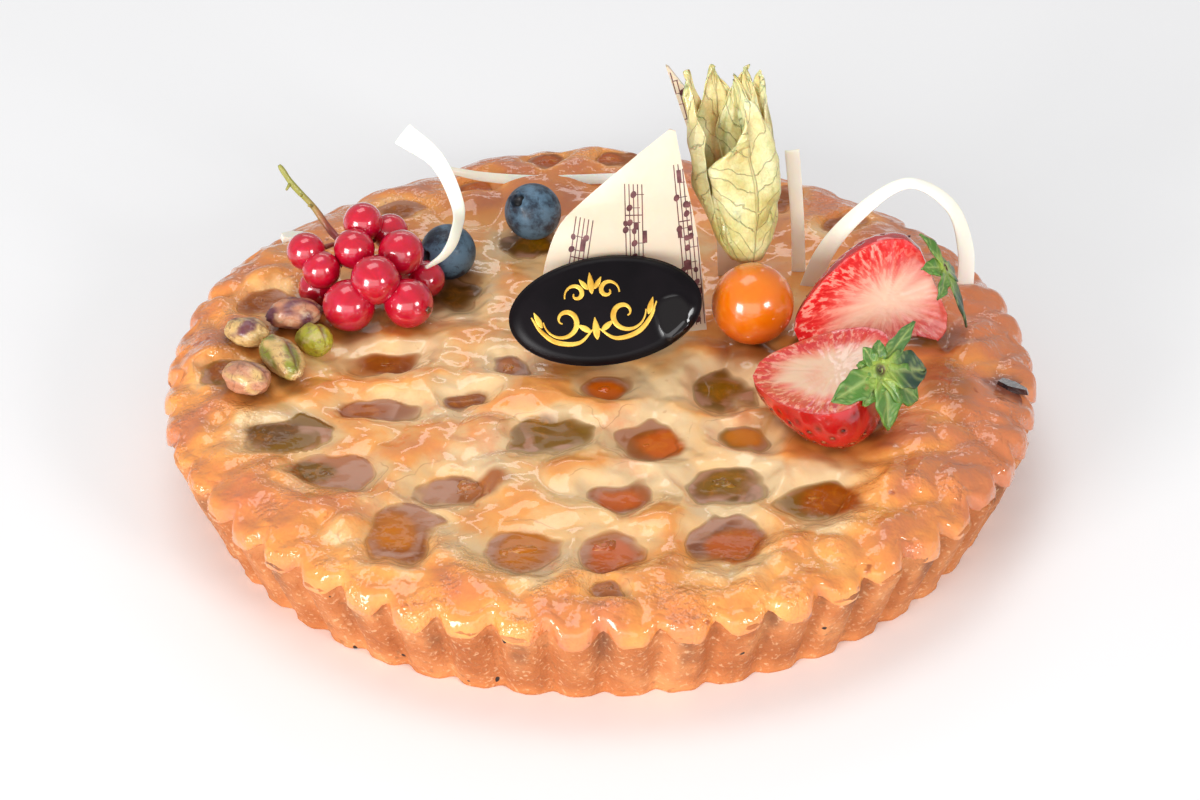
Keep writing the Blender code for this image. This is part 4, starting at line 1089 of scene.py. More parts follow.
def paper_material():
    look = Look("physalis_paper", 0.36, Subsurface_Weight=0.35, Subsurface_Scale=0.002, Coat_Weight=0.8,
                Coat_Roughness=0.1)
    flat = put(look.tree, "ShaderNodeUVMap", uv_map="leaf")
    height = flat.axis("Y")
    across = abs(flat.axis("X") - 0.5)
    waver = (look.speckle(110.0, 4.0) - 0.5) * 2.4
    climb = height * 7.5 - across * 3.4 + waver
    side = 1.0 - abs(climb.calc("FRACT", climb) - 0.5).spread(0.008, 0.05)
    veins = (1.0 - across.spread(0.004, 0.02)).most(side)
    cells = {"Vector": look.place, "Scale": 420.0}
    net = put(look.tree, "ShaderNodeTexVoronoi", cells, feature="DISTANCE_TO_EDGE")
    tone = ramp(
        look.speckle(90.0, 4.0), (0.3, (192, 176, 100)), (0.5, (224, 208, 144)), (0.7, (244, 232, 184)))
    tone = tinted((1.0 - height.spread(0.0, 0.45)) * 0.45, tone, (196, 182, 84))
    tone = tinted((1.0 - height.spread(0.015, 0.05)) * 0.7, tone, (168, 116, 60))
    tone = tinted((1.0 - net.spread(0.02, 0.1)) * 0.14, tone, (176, 156, 92))
    tone = tinted(veins * 0.24, tone, (140, 118, 66))
    relief = veins * 0.6 + look.speckle(150.0, 5.0) * 2.2
    return look.done(Base_Color=tone, Normal=look.bump(relief, 1.0, 0.0009))


def husk_half_size(share):
    """Half width and half depth of the husk at a share of its height."""
    for low, high in zip(HUSK_RINGS, HUSK_RINGS[1:]):
        if share <= high[0]:
            t = (share - low[0]) / (high[0] - low[0])
            return [a + (b - a) * t for a, b in zip(low[1:], high[1:])]
    return HUSK_RINGS[-1][1:]


def husk_leaf_rows(number, middle, half_spread, top, slant, layer, lean, blunt):
    """Points of one leaf in rows from its foot to its torn tip."""
    rows = []
    for i in range(HUSK_LEAF_ROWS + 1):
        v = i / HUSK_LEAF_ROWS
        breadth = 0.85 + 0.15 * rise(0.0, 0.4, v)
        breadth *= max(1 - max(v - HUSK_SPLIT, 0.0) / (1 - HUSK_SPLIT), 0.0) ** blunt + 0.015
        line = []
        for j in range(HUSK_LEAF_COLUMNS + 1):
            u = -1 + 2 * j / HUSK_LEAF_COLUMNS
            torn = 0.035 * wobble(u * 5, v * 9, number * 2.2)
            share = max(v * top * (1 + (torn + slant * min(u, 0.3)) * rise(0.3, 1.0, v)), 0.0)
            half_width, half_depth = husk_half_size(min(share, 1.0))
            angle = radians(middle + half_spread * breadth * u)
            crumple = wobble(u * 1.6, v * 3.6, number * 3.1) + 0.6 * wobble(u * 4.0, v * 8.0, number * 5.7)
            crumple *= rise(0.05, 0.3, v)
            pleat = 0.03 * cos(pi * 3 * u) * rise(0.0, 0.3, v)
            size = layer + 0.17 * crumple + pleat + lean * rise(0.72, 1.0, v) * v - 0.05 * u * u
            line.append(HUSK_BASE.lerp(HUSK_TOP, min(share, 1.0)) + Vector((
                cos(angle) * half_width * size,
                sin(angle) * half_depth * (size + 0.5 * max(lean, 0.0) * rise(0.7, 1.0, v)),
                -3.0 * max(lean - 0.2, 0.0) * rise(0.8, 1.0, v))))
        rows.append(line)
    return rows


def physalis_husk():
    skin = Skin()
    flat = []
    for number, leaf in enumerate(HUSK_LEAVES):
        skin.sheet(husk_leaf_rows(number, *leaf), HUSK_PAPER)
        for _ in range(2):
            for i in range(HUSK_LEAF_ROWS + 1):
                flat += [(j / HUSK_LEAF_COLUMNS, i / HUSK_LEAF_ROWS) for j in range(HUSK_LEAF_COLUMNS + 1)]
    flat += [(0.3, 0.0)] * len(skin.stack(turned_rows(HUSK_BUD, 20, HUSK_BASE, HUSK_TOP - HUSK_BASE)))
    husk = skin.piece("physalis_leaves", paper_material())
    layer = husk.data.uv_layers.new(name="leaf")
    for loop in husk.data.loops:
        layer.data[loop.index].uv = flat[loop.vertex_index]
    return husk


husk = physalis_husk()
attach(husk, "root")
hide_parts("physalis_husk")


# Strawberry halves.
# One ripe strawberry cut lengthwise: a flat juicy face that is red under the skin and pale in the
# middle, with fine streaks towards the rim, and a shiny red skin set with small seeds in pits.

# Tip, crown end, the way the cut face looks, radius, depth, and how far in from the rim it is red
STRAWBERRIES = {
    "back": ((49.6, 2.2, 28.8), (83.0, 3.6, 43.4), (0.0, -0.96, 0.28), 15.4, 12.0, 11.5),
    "front": ((37.6, -22.6, 36.0), (65.0, -34.6, 42.8), (-0.18, -0.06, 0.98), 16.8, 17.0, 6.5),
}
STRAWBERRY_BULGE = 0.3
STRAWBERRY_PROFILE = ((0.0, 0.16), (0.08, 0.4), (0.3, 0.72), (0.55, 0.95), (0.76, 1.0), (0.93, 0.86),
                      (1.0, 0.58))
SKIN_POINTS = 64
FACE_POINTS = 60
PROFILE_STEPS = 14
SEED_SPACING = 2.7
SEED_SIZE = (1.15, 0.72, 0.5)
BERRY_RED = colour(214, 12, 18)
DEEP_RED = colour(150, 4, 14)
FACE_RED = colour(216, 34, 36)
FACE_PINK = colour(236, 112, 98)
FACE_CREAM = colour(240, 198, 172)


def strawberry_material(name):
    """Skin and flesh with their tones read from the mesh, and fine streaks that fan out on the face."""
    look = Look(f"strawberry_flesh_{name}", 0.26, Subsurface_Weight=0.2, Subsurface_Scale=0.002,
                Coat_Weight=0.9, Coat_Roughness=0.04)
    rimward = look.stored("rimward")
    stripes = speckle(look.stored("fan", "Vector"), 13.0, 2.0, 0.6)
    tone = tinted(stripes.spread(0.5, 0.58) * rimward * 0.8, look.stored("skin", "Color"), (204, 20, 26))
    tone = tinted((1.0 - stripes.spread(0.4, 0.47)) * rimward * 0.6, tone, (244, 176, 156))
    return look.done(Base_Color=tone, Normal=wet_normal(look, 0.1, 0.02))


def seed_pits(length):
    """Where the seeds sit: share of the way along, and angle round the skin."""
    rows = int(length / SEED_SPACING)
    pits = []
    for row in range(1, rows):
        share = (row + 0.4) / rows
        around = max(int(4 + 8 * sin(pi * share)), 4)
        pits += [(share, pi * (step + 0.25 + 0.5 * (row % 2)) / around) for step in range(around)]
    return pits


def strawberry_half(name, tip, crown, face_way, radius, depth, red_band):
    """The half's mesh, and the places and directions of its seeds."""
    tip = Vector(tip)
    axis = Vector(crown) - tip
    length = axis.length
    along = axis.normalized()
    out = Vector(face_way)
    out = (out - along * out.dot(along)).normalized()
    side = along.cross(out)
    profile = smooth_path(STRAWBERRY_PROFILE, PROFILE_STEPS)
    pits = seed_pits(length)

    def skin_offset(angle):
        bulge = 1 + STRAWBERRY_BULGE * sin(angle)
        return side * cos(angle) * bulge * radius - out * sin(angle) * depth

    rows = []
    looks = []
    for share, fullness in profile:
        line = []
        for i in range(SKIN_POINTS):
            angle = pi * i / (SKIN_POINTS - 1)
            offset = skin_offset(angle)
            girth = radius * max(fullness, 0.2)
            nearest = min(hypot((share - s) * length, (angle - a) * girth) for s, a in pits)
            pit = exp(-((nearest / 0.8) ** 2)) * min(sin(angle) * 4, 1.0)
            line.append(tuple(tip + axis * share + offset * fullness - offset.normalized() * 0.5 * pit))
            shade = mix(BERRY_RED, DEEP_RED, 0.5 + 0.5 * wobble(share * 7, angle * 2.4, radius))
            # Painted shade: the skin darkened in each seed's pit.
            pit_shaded = [channel * (1 - 0.75 * pit) for channel in shade[:3]]
            looks.append(([*pit_shaded, 1.0], (0.0, 0.0, 0.0), 0.0))
        for i in range(1, FACE_POINTS - 1):
            t = -1 + 2 * i / (FACE_POINTS - 1)
            across = t * radius * fullness
            from_rim = min((1 - abs(t)) * radius * fullness, (share + 0.015) * length)
            fan = atan2(across, (share - 0.66) * length)
            streak = wobble(fan * 6.5, from_rim * 0.05, radius)
            fine = wobble(fan * 19, from_rim * 0.12, radius + 5)
            soft = wobble(share * 5, t * 2.2, radius + 9)
            dish = 0.5 * rise(0.6, 6.0, from_rim) + 0.18 * fine
            line.append(tuple(tip + axis * share + side * across - out * dish))
            near_crown = rise(0.72, 0.95, share + 0.1 * soft)
            red = 1 - rise(1.4, red_band + 2.5 * soft, from_rim + 4.0 * streak + 1.2 * fine)
            red *= 1 - 0.85 * near_crown * rise(-0.6, 0.0, t)
            pink = 1 - rise(3.0, red_band + 3.0, from_rim + 3.0 * streak + 3.0 * soft)
            shade = mix(mix(FACE_CREAM, FACE_PINK, pink), FACE_RED, red)
            shade = mix(shade, FACE_PINK, max(0.5 * soft + 0.25 * fine, 0.0))
            rimward = (1 - rise(2.5, red_band + 2.0, from_rim)) * (1 - 0.8 * near_crown)
            looks.append(([*shade[:3], 1.0], (cos(fan), sin(fan), 0.035 * from_rim + radius), rimward))
        rows.append(line)
    looks += [(DEEP_RED, (0.0, 0.0, 0.0), 0.0), (FACE_CREAM, (0.0, 0.0, 0.0), 0.0)]
    skin = Skin()
    skin.stack(rows)
    half = skin.piece(f"strawberry_{name}", strawberry_material(name))
    half.data.set_sharp_from_angle(angle=radians(50.0))
    tones, fans, rimwards = zip(*looks)
    store(half.data, "skin", tones, "FLOAT_COLOR")
    store(half.data, "fan", fans, "FLOAT_VECTOR")
    store(half.data, "rimward", rimwards)
    seeds = []
    for share, angle in pits:
        if 0.25 < angle < pi - 0.25:
            row = min(profile, key=lambda spot: abs(spot[0] - share))
            offset = skin_offset(angle)
            spot = tip + axis * row[0] + offset * row[1]
            seeds.append((spot - offset.normalized() * 0.35, offset.normalized()))
    return half, seeds


def seeds_tree():
    """A small seed on every point of a mesh, laid along the point's own direction."""
    tree, given = node_group(
        "seeds", "GeometryNodeTree", ("Geometry", "Geometry"), Points="Geometry", Seed_Size="Vector",
        Uneven="Float", Seed_Skin="Material")
    seed = put(tree, "GeometryNodeMeshIcoSphere", {"Radius": 0.5, "Subdivisions": 2}, "Mesh")
    shaped = put(tree, "GeometryNodeTransform", {"Geometry": seed, "Scale": given["Seed Size"]})
    way = put(tree, "GeometryNodeInputNamedAttribute", {"Name": "out"}, data_type="FLOAT_VECTOR")
    turn = put(tree, "FunctionNodeAlignRotationToVector", {"Vector": way}, axis="Z")
    odd = put(tree, "FunctionNodeRandomValue", {"Seed": 7, 2: 1.0, 3: given["Uneven"]}, 1, data_type="FLOAT")
    placing = {"Points": given["Points"], "Instance": shaped, "Rotation": turn, "Scale": odd}
    close_tree(tree, put(tree, "GeometryNodeInstanceOnPoints", placing), given["Seed Skin"])
    return tree


def seed_material():
    look = Look("strawberry_seed", 0.45, Coat_Weight=0.1)
    return look.done(Base_Color=ramp(look.speckle(150.0, 2.0), (0.4, (70, 20, 12)), (0.6, (150, 78, 30))))


SEEDS_TREE = seeds_tree()
SEED_SKIN = seed_material()
for half_name, half_sizes in STRAWBERRIES.items():
    strawberry, seed_spots = strawberry_half(half_name, *half_sizes)
    base = bpy.data.meshes.new(f"seed_spots_{half_name}")
    base.from_pydata([spot * MM for spot, _ in seed_spots], [], [])
    store(base, "out", [way for _, way in seed_spots], "FLOAT_VECTOR")
    seeds = grown(f"strawberry_seeds_{half_name}", SEEDS_TREE, {
        "Seed Size": tuple(size * MM for size in SEED_SIZE),
        "Uneven": 1.35,
        "Seed Skin": SEED_SKIN,
    }, base)
    for piece in (strawberry, seeds):
        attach(piece, "root")
        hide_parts(f"strawberry_half_{half_name}")


# Strawberry leaves.
# The green leaves still on each half's crown: broad, veined and bent back, fresh green near the
# stalk's hole and dark blue-green over the outer part of some leaves.

LEAF_ROWS = 16
LEAF_COLUMNS = 9
LEAF_THICKNESS = 0.45
LEAF_GREEN = colour(88, 138, 42)
LEAF_PALE = colour(158, 178, 70)
LEAF_DARK = colour(34, 64, 46)

# Centre, the way the crown looks, its core's radius, and the leaves: direction in degrees, length,
# width, how far the tip bends back, share of dark green
CALYXES = {
    "back": ((84.6, 2.4, 48.2), (0.82, -0.14, 0.52), 3.0, (
        (20, 8.8, 4.6, 2.0, 0.3),
        (80, 10.3, 5.0, 1.0, 0.2),
        (140, 8.0, 4.6, 2.5, 0.2),
        (200, 8.8, 4.6, 3.0, 0.3),
        (262, 16.4, 6.0, 2.0, 1.0),
        (316, 11.0, 5.4, 1.5, 1.0),
    )),
    "front": ((64.8, -39.2, 45.8), (0.52, -0.62, 0.58), 4.4, (
        (26, 15.4, 4.4, -2.0, 0.5),
        (-20, 15.4, 9.6, 2.0, 1.0),
        (66, 7.0, 4.6, -0.6, 0.3),
        (112, 7.0, 4.2, -1.0, 0.2),
        (146, 6.0, 4.4, 0.4, 0.1),
        (186, 15.4, 7.4, 1.0, 0.3),
        (222, 9.0, 6.0, 1.6, 0.1),
        (262, 14.0, 8.2, 3.0, 0.2),
        (312, 14.6, 9.8, 3.0, 0.3),
    )),
}


def leaf_material():
    look = Look("strawberry_leaf", 0.42, Subsurface_Weight=0.15, Subsurface_Scale=0.001, Coat_Weight=0.2,
                Coat_Roughness=0.2)
    vein = look.stored("vein")
    blotch = look.speckle(260.0, 4.0).spread(0.45, 0.7) * 0.5
    tone = tinted(blotch, look.stored("skin", "Color"), (70, 104, 44))
    tone = tinted(vein * 0.55, tone, (186, 200, 120))
    tone = tinted(look.speckle(420.0, 3.0).spread(0.66, 0.74) * 0.6, tone, (142, 108, 58))
    relief = look.speckle(700.0, 3.0) - vein
    return look.done(Base_Color=tone, Normal=look.bump(relief, 0.5, 0.0004))


def strawberry_leaves(name, centre, normal, core, leaves):
    centre = Vector(centre)
    out = Vector(normal).normalized()
    right = Vector((0, 0, 1)).cross(out).normalized()
    up = out.cross(right)
    skin = Skin()
    looks = []
    for number, (direction, length, width, bend, dark) in enumerate(leaves):
        angle = radians(direction)
        way = right * cos(angle) + up * sin(angle)
        across = out.cross(way)
        rows = []
        leaf_looks = []
        for i in range(LEAF_ROWS + 1):
            v = i / LEAF_ROWS
            half = 0.5 * width * (0.5 + 0.5 * rise(0.0, 0.45, v)) * max(1 - v ** 4.5, 0.03)
            half *= 1 + 0.09 * sin(v * 19 + number * 2.3)
            shade = mix(LEAF_GREEN, LEAF_PALE, 1 - rise(0.05, 0.45, v))
            shade = mix(shade, LEAF_DARK, rise(0.15, 0.5, v) * dark)
            line = []
            for j in range(LEAF_COLUMNS):
                u = -1 + 2 * j / (LEAF_COLUMNS - 1)
                fold = 0.5 * abs(u) * half * 0.45
                wave = 0.7 * wobble(u * 1.4, v * 3.2, number * 4.4 + core) * rise(0.1, 0.6, v)
                lift = 0.35 * (number % 2) + fold + wave - bend * v ** 2
                line.append(centre + way * (0.6 + (length - 0.6) * v) + across * u * half + out * lift)
                lateral = abs(((v * 6 - abs(u) * 1.4) % 1) - 0.5) < 0.12
                leaf_looks.append((shade, max(exp(-((u / 0.16) ** 2)), 0.5 * lateral)))
            rows.append(line)
        skin.sheet(rows, LEAF_THICKNESS)
        looks += leaf_looks * 2
    button = ((core * 0.75, -0.3), (core * 0.7, 0.55), (core * 0.45, 0.95), (0.9, 0.9), (0.7, 0.3))
    for point in skin.stack(turned_rows(button, 24, centre, out)):
        deep = (Vector(point) - centre).cross(out).length < 0.95
        looks.append((FLOWER_BROWN if deep else LEAF_PALE, 0.0))
    obj = skin.piece(f"strawberry_leaves_{name}", LEAF_MATERIAL)
    tones, veins = zip(*looks)
    store(obj.data, "skin", tones, "FLOAT_COLOR")
    store(obj.data, "vein", veins)
    return obj


LEAF_MATERIAL = leaf_material()
for calyx_name, calyx_sizes in CALYXES.items():
    leaves = strawberry_leaves(calyx_name, *calyx_sizes)
    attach(leaves, "root")
    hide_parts(f"strawberry_calyx_{calyx_name}")


# Pistachios.
# Five shelled pistachios heaped at the left: wrinkled tan and purple skins, split along one side,
# and one nut whose bare flesh is bright green.

NUT_COLUMNS = 60
NUT_ROWS = 40
NUT_TAN = colour(196, 134, 100)
NUT_CREAM = colour(214, 176, 112)
NUT_PURPLE = colour(108, 52, 66)
NUT_GREEN = colour(134, 136, 34)
NUT_YELLOW = colour(186, 180, 44)

# Nuts: x, y, length, width, turn and tilt in degrees, lift, main skin, second skin, share of the second
PISTACHIOS = (
    (-77.0, 13.8, 14.0, 9.2, 8, 0, 0.0, NUT_TAN, NUT_PURPLE, 0.55),
    (-88.0, 5.4, 11.4, 8.6, -16, 6, 0.0, NUT_CREAM, NUT_PURPLE, 0.5),
    (-78.4, -6.0, 17.4, 9.0, -58, 4, 0.6, NUT_CREAM, NUT_GREEN, 0.45),
    (-71.4, 4.8, 10.5, 9.0, -50, 0, 0.0, NUT_YELLOW, NUT_GREEN, 0.5),
    (-86.0, -14.6, 13.0, 9.4, -28, 0, 0.0, NUT_TAN, NUT_CREAM, 0.45),
)


def nut_material():
    look = Look("pistachio_skin", 0.4, Subsurface_Weight=0.08, Subsurface_Scale=0.002, Coat_Weight=0.45,
                Coat_Roughness=0.15)
    fibres = look.speckle(480.0, 5.0, 0.65, 1.0)
    tone = tinted(fibres.spread(0.5, 0.66) * 0.6, look.stored("skin", "Color"), (122, 72, 48))
    tone = tinted(look.speckle(260.0, 4.0).spread(0.55, 0.7) * 0.45, tone, (232, 206, 166))
    return look.done(Base_Color=tone, Normal=look.bump(fibres, 0.6, 0.0006))


NUT_MATERIAL = nut_material()
for nut_number, nut_sizes in enumerate(PISTACHIOS, start=1):
    x, y, length, width, turn, tilt, lift, main, second, amount = nut_sizes
    seed = Vector((nut_number * 5.1, 0, 0))
    middle = Vector((x, y, custard_height(x, y) + 0.43 * width - 0.5 + lift))
    spin = Matrix.Rotation(radians(turn), 3, "Z") @ Matrix.Rotation(radians(tilt), 3, "Y")
    nut_rows = []
    nut_tones = []
    for row in range(NUT_ROWS):
        lean = pi * (row + 0.6) / (NUT_ROWS + 0.2)
        line = []
        for column in range(NUT_COLUMNS):
            angle = tau * column / NUT_COLUMNS
            way = Vector((-cos(lean), sin(lean) * cos(angle), sin(lean) * sin(angle)))
            bump = 1 + 0.1 * noise.noise(way * 1.7 + seed)
            bump += 0.045 * noise.noise(way * Vector((2, 6, 6)) + seed)
            split = exp(-(((angle - 1.1 - 0.3 * way.x) / 0.16) ** 2)) * sin(lean)
            bump -= 0.12 * split + 0.07 * abs(noise.noise(way * Vector((3, 8, 8)) + seed))
            line.append(tuple(middle + spin @ Vector((
                way.x * length / 2 * bump, way.y * width / 2 * bump, way.z * 0.43 * width * bump))))
            patch = rise(0.45 - amount, 0.75 - amount, 0.5 * noise.noise(way * 1.5 + seed * 2) + 0.1 * way.z)
            nut_tones.append(mix(mix(main, second, patch), NUT_PURPLE, 0.75 * split))
        nut_rows.append(line)
    nut_skin = Skin()
    nut_skin.stack(nut_rows)
    nut = nut_skin.piece(f"pistachio_nut_{nut_number}", NUT_MATERIAL)
    store(nut.data, "skin", [*nut_tones, main, main], "FLOAT_COLOR")
    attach(nut, "root")
    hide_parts(f"pistachio_{nut_number}")


# White chocolate sheets.
# A cream-coloured curved sheet that stands like a sail, and a narrow shard behind it, both printed
# with plain music staves and notes in brown cocoa butter.

SHEET_THICKNESS = 1.2
EDGE_STEPS = 12
FAN_LEFT_EDGE = ((-14.3, 13.0, 25.0), (-13.9, 13.0, 40.0), (-12.1, 13.0, 49.0), (-9.0, 14.0, 56.0),
                 (-3.7, 14.0, 62.0), (6.2, 15.0, 70.7), (17.9, 17.0, 80.2))
FAN_RIGHT_EDGE = ((27.3, 11.0, 25.0), (25.4, 12.0, 47.5), (23.6, 13.0, 58.9), (21.4, 14.0, 69.1),
                  (19.2, 17.0, 79.8))
FAN_BULGE = 2.4
SHARD_LEFT_EDGE = ((31.5, 37.0, 24.0), (30.5, 36.5, 42.0), (28.0, 36.0, 55.0), (23.2, 36.0, 70.0),
                   (17.5, 36.0, 88.0))
SHARD_RIGHT_EDGE = ((41.0, 37.0, 24.0), (40.0, 36.5, 42.0), (37.5, 36.0, 55.0), (30.5, 36.0, 70.0),
                    (18.3, 36.0, 87.6))
STAVE_LINES = 5
STAVE_GAP = 1.05
LINE_WIDTH = 0.24
PRINT_LIFT = 0.05
NOTE_SIZE = (1.9, 1.4)
SMALL_NOTE_SIZE = (1.6, 1.2)
STEM_LENGTH = 2.6
STEM_WIDTH = 0.2
BEAM_WIDTH = 1.1
BAR_WIDTH = 0.3

# Staves: foot and head of the left line in x and z, and the print's seed
FAN_STAVES = (
    ((-8.4, 38.0), (-5.2, 58.5), 3),
    ((7.2, 38.0), (6.8, 67.5), 8),
    ((22.6, 28.0), (18.8, 72.0), 5),
)
SHARD_STAVES = (((25.2, 56.0), (17.6, 86.0), 2),)


def edge_rows(left_edge, right_edge, rows, columns, bulge):
    """Points of a curved sheet between two edge curves, from its foot up."""
    left = smooth_path(left_edge, EDGE_STEPS)
    right = smooth_path(right_edge, EDGE_STEPS)
    grid = []
    for i in range(rows + 1):
        start = left[round(i / rows * (len(left) - 1))]
        end = right[round(i / rows * (len(right) - 1))]
        line = []
        for j in range(columns + 1):
            t = j / columns
            bow = Vector((0, -bulge * sin(pi * t) * (end - start).length / 40, 0))
            line.append(start.lerp(end, t) + bow)
        grid.append(line)
    return grid


def white_chocolate_material(name, shade, light):
    look = Look(name, 0.32, Subsurface_Weight=0.25, Subsurface_Scale=0.003, Coat_Weight=0.2,
                Coat_Roughness=0.15)
    tone = ramp(look.speckle(40.0, 3.0), (0.35, shade), (0.65, light))
    return look.done(Base_Color=tone, Normal=look.bump(look.speckle(120.0, 3.0), 0.15, 0.0004))


WHITE_CHOCOLATE = white_chocolate_material("white_chocolate", (252, 242, 224), (255, 250, 240))
CREAM_CHOCOLATE = white_chocolate_material("cream_chocolate", (212, 196, 172), (224, 210, 188))


def print_material():
    look = Look("cocoa_print", 0.45)
    return look.done(Base_Color=ramp(look.speckle(500.0, 3.0), (0.35, (78, 34, 40)), (0.65, (120, 72, 74))))


PRINT_MATERIAL = print_material()


class Print(Skin):
    """Thin shapes laid on the front of a sheet, given by their x and z in millimetres."""

    def __init__(self, sheet_object):
        super().__init__()
        self.tree = BVHTree.FromObject(sheet_object, bpy.context.evaluated_depsgraph_get())

    def lay(self, outline):
        """One flat shape, where the sheet reaches under all of it."""
        laid = []
        for x, z in outline:
            hit, normal, _, _ = self.tree.ray_cast(Vector((x, -200.0, z)) * MM, Vector((0, 1, 0)))
            if hit is None:
                return
            laid.append(hit / MM + normal * PRINT_LIFT)
        start = len(self.points)
        self.points.extend(laid)
        self.faces.append(tuple(range(start, start + len(laid))))

    def stroke(self, start, end, width):
        """A straight line in short pieces, so that it follows the sheet."""
        start, end = Vector(start), Vector(end)
        way = (end - start).normalized()
        side = Vector((-way.y, way.x)) * width / 2
        pieces = max(int((end - start).length / 1.2), 1)
        for i in range(pieces):
            a = start.lerp(end, i / pieces)
            b = start.lerp(end, (i + 1) / pieces)
            self.lay([a - side, b - side, b + side, a + side])

    def dot(self, centre, way, length, width):
        """A filled oval along a direction."""
        side = Vector((-way.y, way.x))
        self.lay([
            centre + way * (length / 2) * cos(a) + side * (width / 2) * sin(a)
            for a in (tau * k / 12 for k in range(12))
        ])

    def stave(self, foot, head, seed):
        """Five lines, with notes, beams and bar lines scattered along them."""
        chance = random.Random(seed)
        foot, head = Vector(foot), Vector(head)
        way = (head - foot).normalized()
        side = Vector((way.y, -way.x))
        for line in range(STAVE_LINES):
            shift = side * STAVE_GAP * line
            self.stroke(foot + shift, head + shift, LINE_WIDTH)
        length = (head - foot).length
        along = 1.4
        while along < length - 2.0:
            step = chance.uniform(1.6, 4.2)
            level = chance.randrange(0, 9) * STAVE_GAP / 2
            spot = foot + way * along + side * level
            self.dot(spot, (way + side * 0.5).normalized(), *NOTE_SIZE)
            stem_end = spot + side * (-STEM_LENGTH if level > 2 * STAVE_GAP else STEM_LENGTH)
            self.stroke(spot, stem_end, STEM_WIDTH)
            if chance.random() < 0.5:
                self.dot(spot + way * step * 0.9 + side * chance.choice((0.0, 0.5)), way, *SMALL_NOTE_SIZE)
                self.stroke(stem_end, stem_end + way * min(step, 3.2), BEAM_WIDTH)
            if chance.random() < 0.2:
                self.stroke(spot + side * 1.2, spot + side * 1.2 + way * 2.6, 1.8)
            if chance.random() < 0.2:
                bar = foot + way * (along + step * 0.5)
                self.stroke(bar, bar + side * STAVE_GAP * (STAVE_LINES - 1), BAR_WIDTH)
            along += step


def printed_sheet(name, node, left_edge, right_edge, size, bulge, staves):
    skin = Skin()
    skin.sheet(edge_rows(left_edge, right_edge, *size, bulge), SHEET_THICKNESS)
    obj = skin.piece(name, CREAM_CHOCOLATE)
    obj.data.set_sharp_from_angle(angle=radians(40.0))
    bpy.context.view_layer.update()
    ink = Print(obj)
    for stave in staves:
        ink.stave(*stave)
    print_obj = ink.piece(f"{name}_print", PRINT_MATERIAL, smooth=False)
    for piece in (obj, print_obj):
        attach(piece, "root")
        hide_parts(node)


printed_sheet(
    "chocolate_sail", "chocolate_fan", FAN_LEFT_EDGE, FAN_RIGHT_EDGE, (64, 32), FAN_BULGE, FAN_STAVES)
printed_sheet(
    "chocolate_spike", "chocolate_shard", SHARD_LEFT_EDGE, SHARD_RIGHT_EDGE, (48, 8), 0.0, SHARD_STAVES)


# Chocolate plaque.
# An oval of tempered dark chocolate that leans on the sail, with a plain gold scroll printed on it
# and a run of wet glaze over its right end.

PLAQUE_CENTRE = (1.6, -0.9, 39.6)
PLAQUE_LENGTH = 48.0
PLAQUE_WIDTH = 27.0
PLAQUE_THICKNESS = 3.2
PLAQUE_LEAN = 50.0
PLAQUE_ROLL = 8.0
PLAQUE_BULGE = 0.5
PLAQUE_SIDES = 120
GOLD_LIFT = 0.07
GOLD_THICKNESS = 0.12
GOLD_MIDDLE = -2.6
SCROLL_STEPS = 70
DROP_STEPS = 14
SWEEP = ((0.6, -4.4), (4.6, -7.4), (10.0, -6.6), (13.6, -3.4), (15.6, 0.4))

# Leaf strokes at each side of the middle, then those on it: start, direction, length and width
SIDE_DROPS = (
    ((13.2, -2.6), (0.4, 1), 4.4, 1.3),
    ((1.2, -5.2), (1.0, 0.7), 4.0, 1.3),
    ((0.8, 5.4), (0.7, 1), 3.4, 1.1),
)
MIDDLE_DROPS = (((0.0, -7.2), (0, 1), 5.6, 1.7), ((0.0, 4.2), (0, 1), 5.4, 1.5))
PLAQUE_PLACE = (
    Matrix.Translation(PLAQUE_CENTRE)
    @ Matrix.Rotation(radians(-PLAQUE_ROLL), 4, "Y")
    @ Matrix.Rotation(radians(PLAQUE_LEAN), 4, "X")
)


def plaque_height(x, y):
    """Height of the plaque's face at a place on it."""
    reach = hypot(x / (PLAQUE_LENGTH / 2), y / (PLAQUE_WIDTH / 2))
    return PLAQUE_THICKNESS / 2 + PLAQUE_BULGE * (1 - reach ** 2) - 1.3 * max(reach - 0.93, 0.0) / 0.07


def glaze_run(x, y):
    """How much glaze lies on the plaque's right end, 0 to 1."""
    return 1 - rise(0.7, 1.0, hypot((x - 16.8) / 5.0, (y + 4.6) / 6.6) + 0.16 * wobble(x * 0.2, y * 0.2, 1.0))


def plaque_material():
    look = Look("dark_chocolate", 0.3, Specular_IOR_Level=0.14, Coat_Roughness=0.02, Coat_IOR=1.5)
    wet = look.stored("wet")
    cloudy = ramp(look.speckle(90.0, 4.0), (0.35, (10, 7, 10)), (0.65, (18, 13, 17)))
    bump = look.bump(look.speckle(220.0, 3.0), 0.1, 0.0003)
    return look.done(
        Base_Color=tinted(wet, cloudy, (14, 9, 10)), Coat_Weight=wet, Roughness=0.36 - wet * 0.3, Normal=bump)


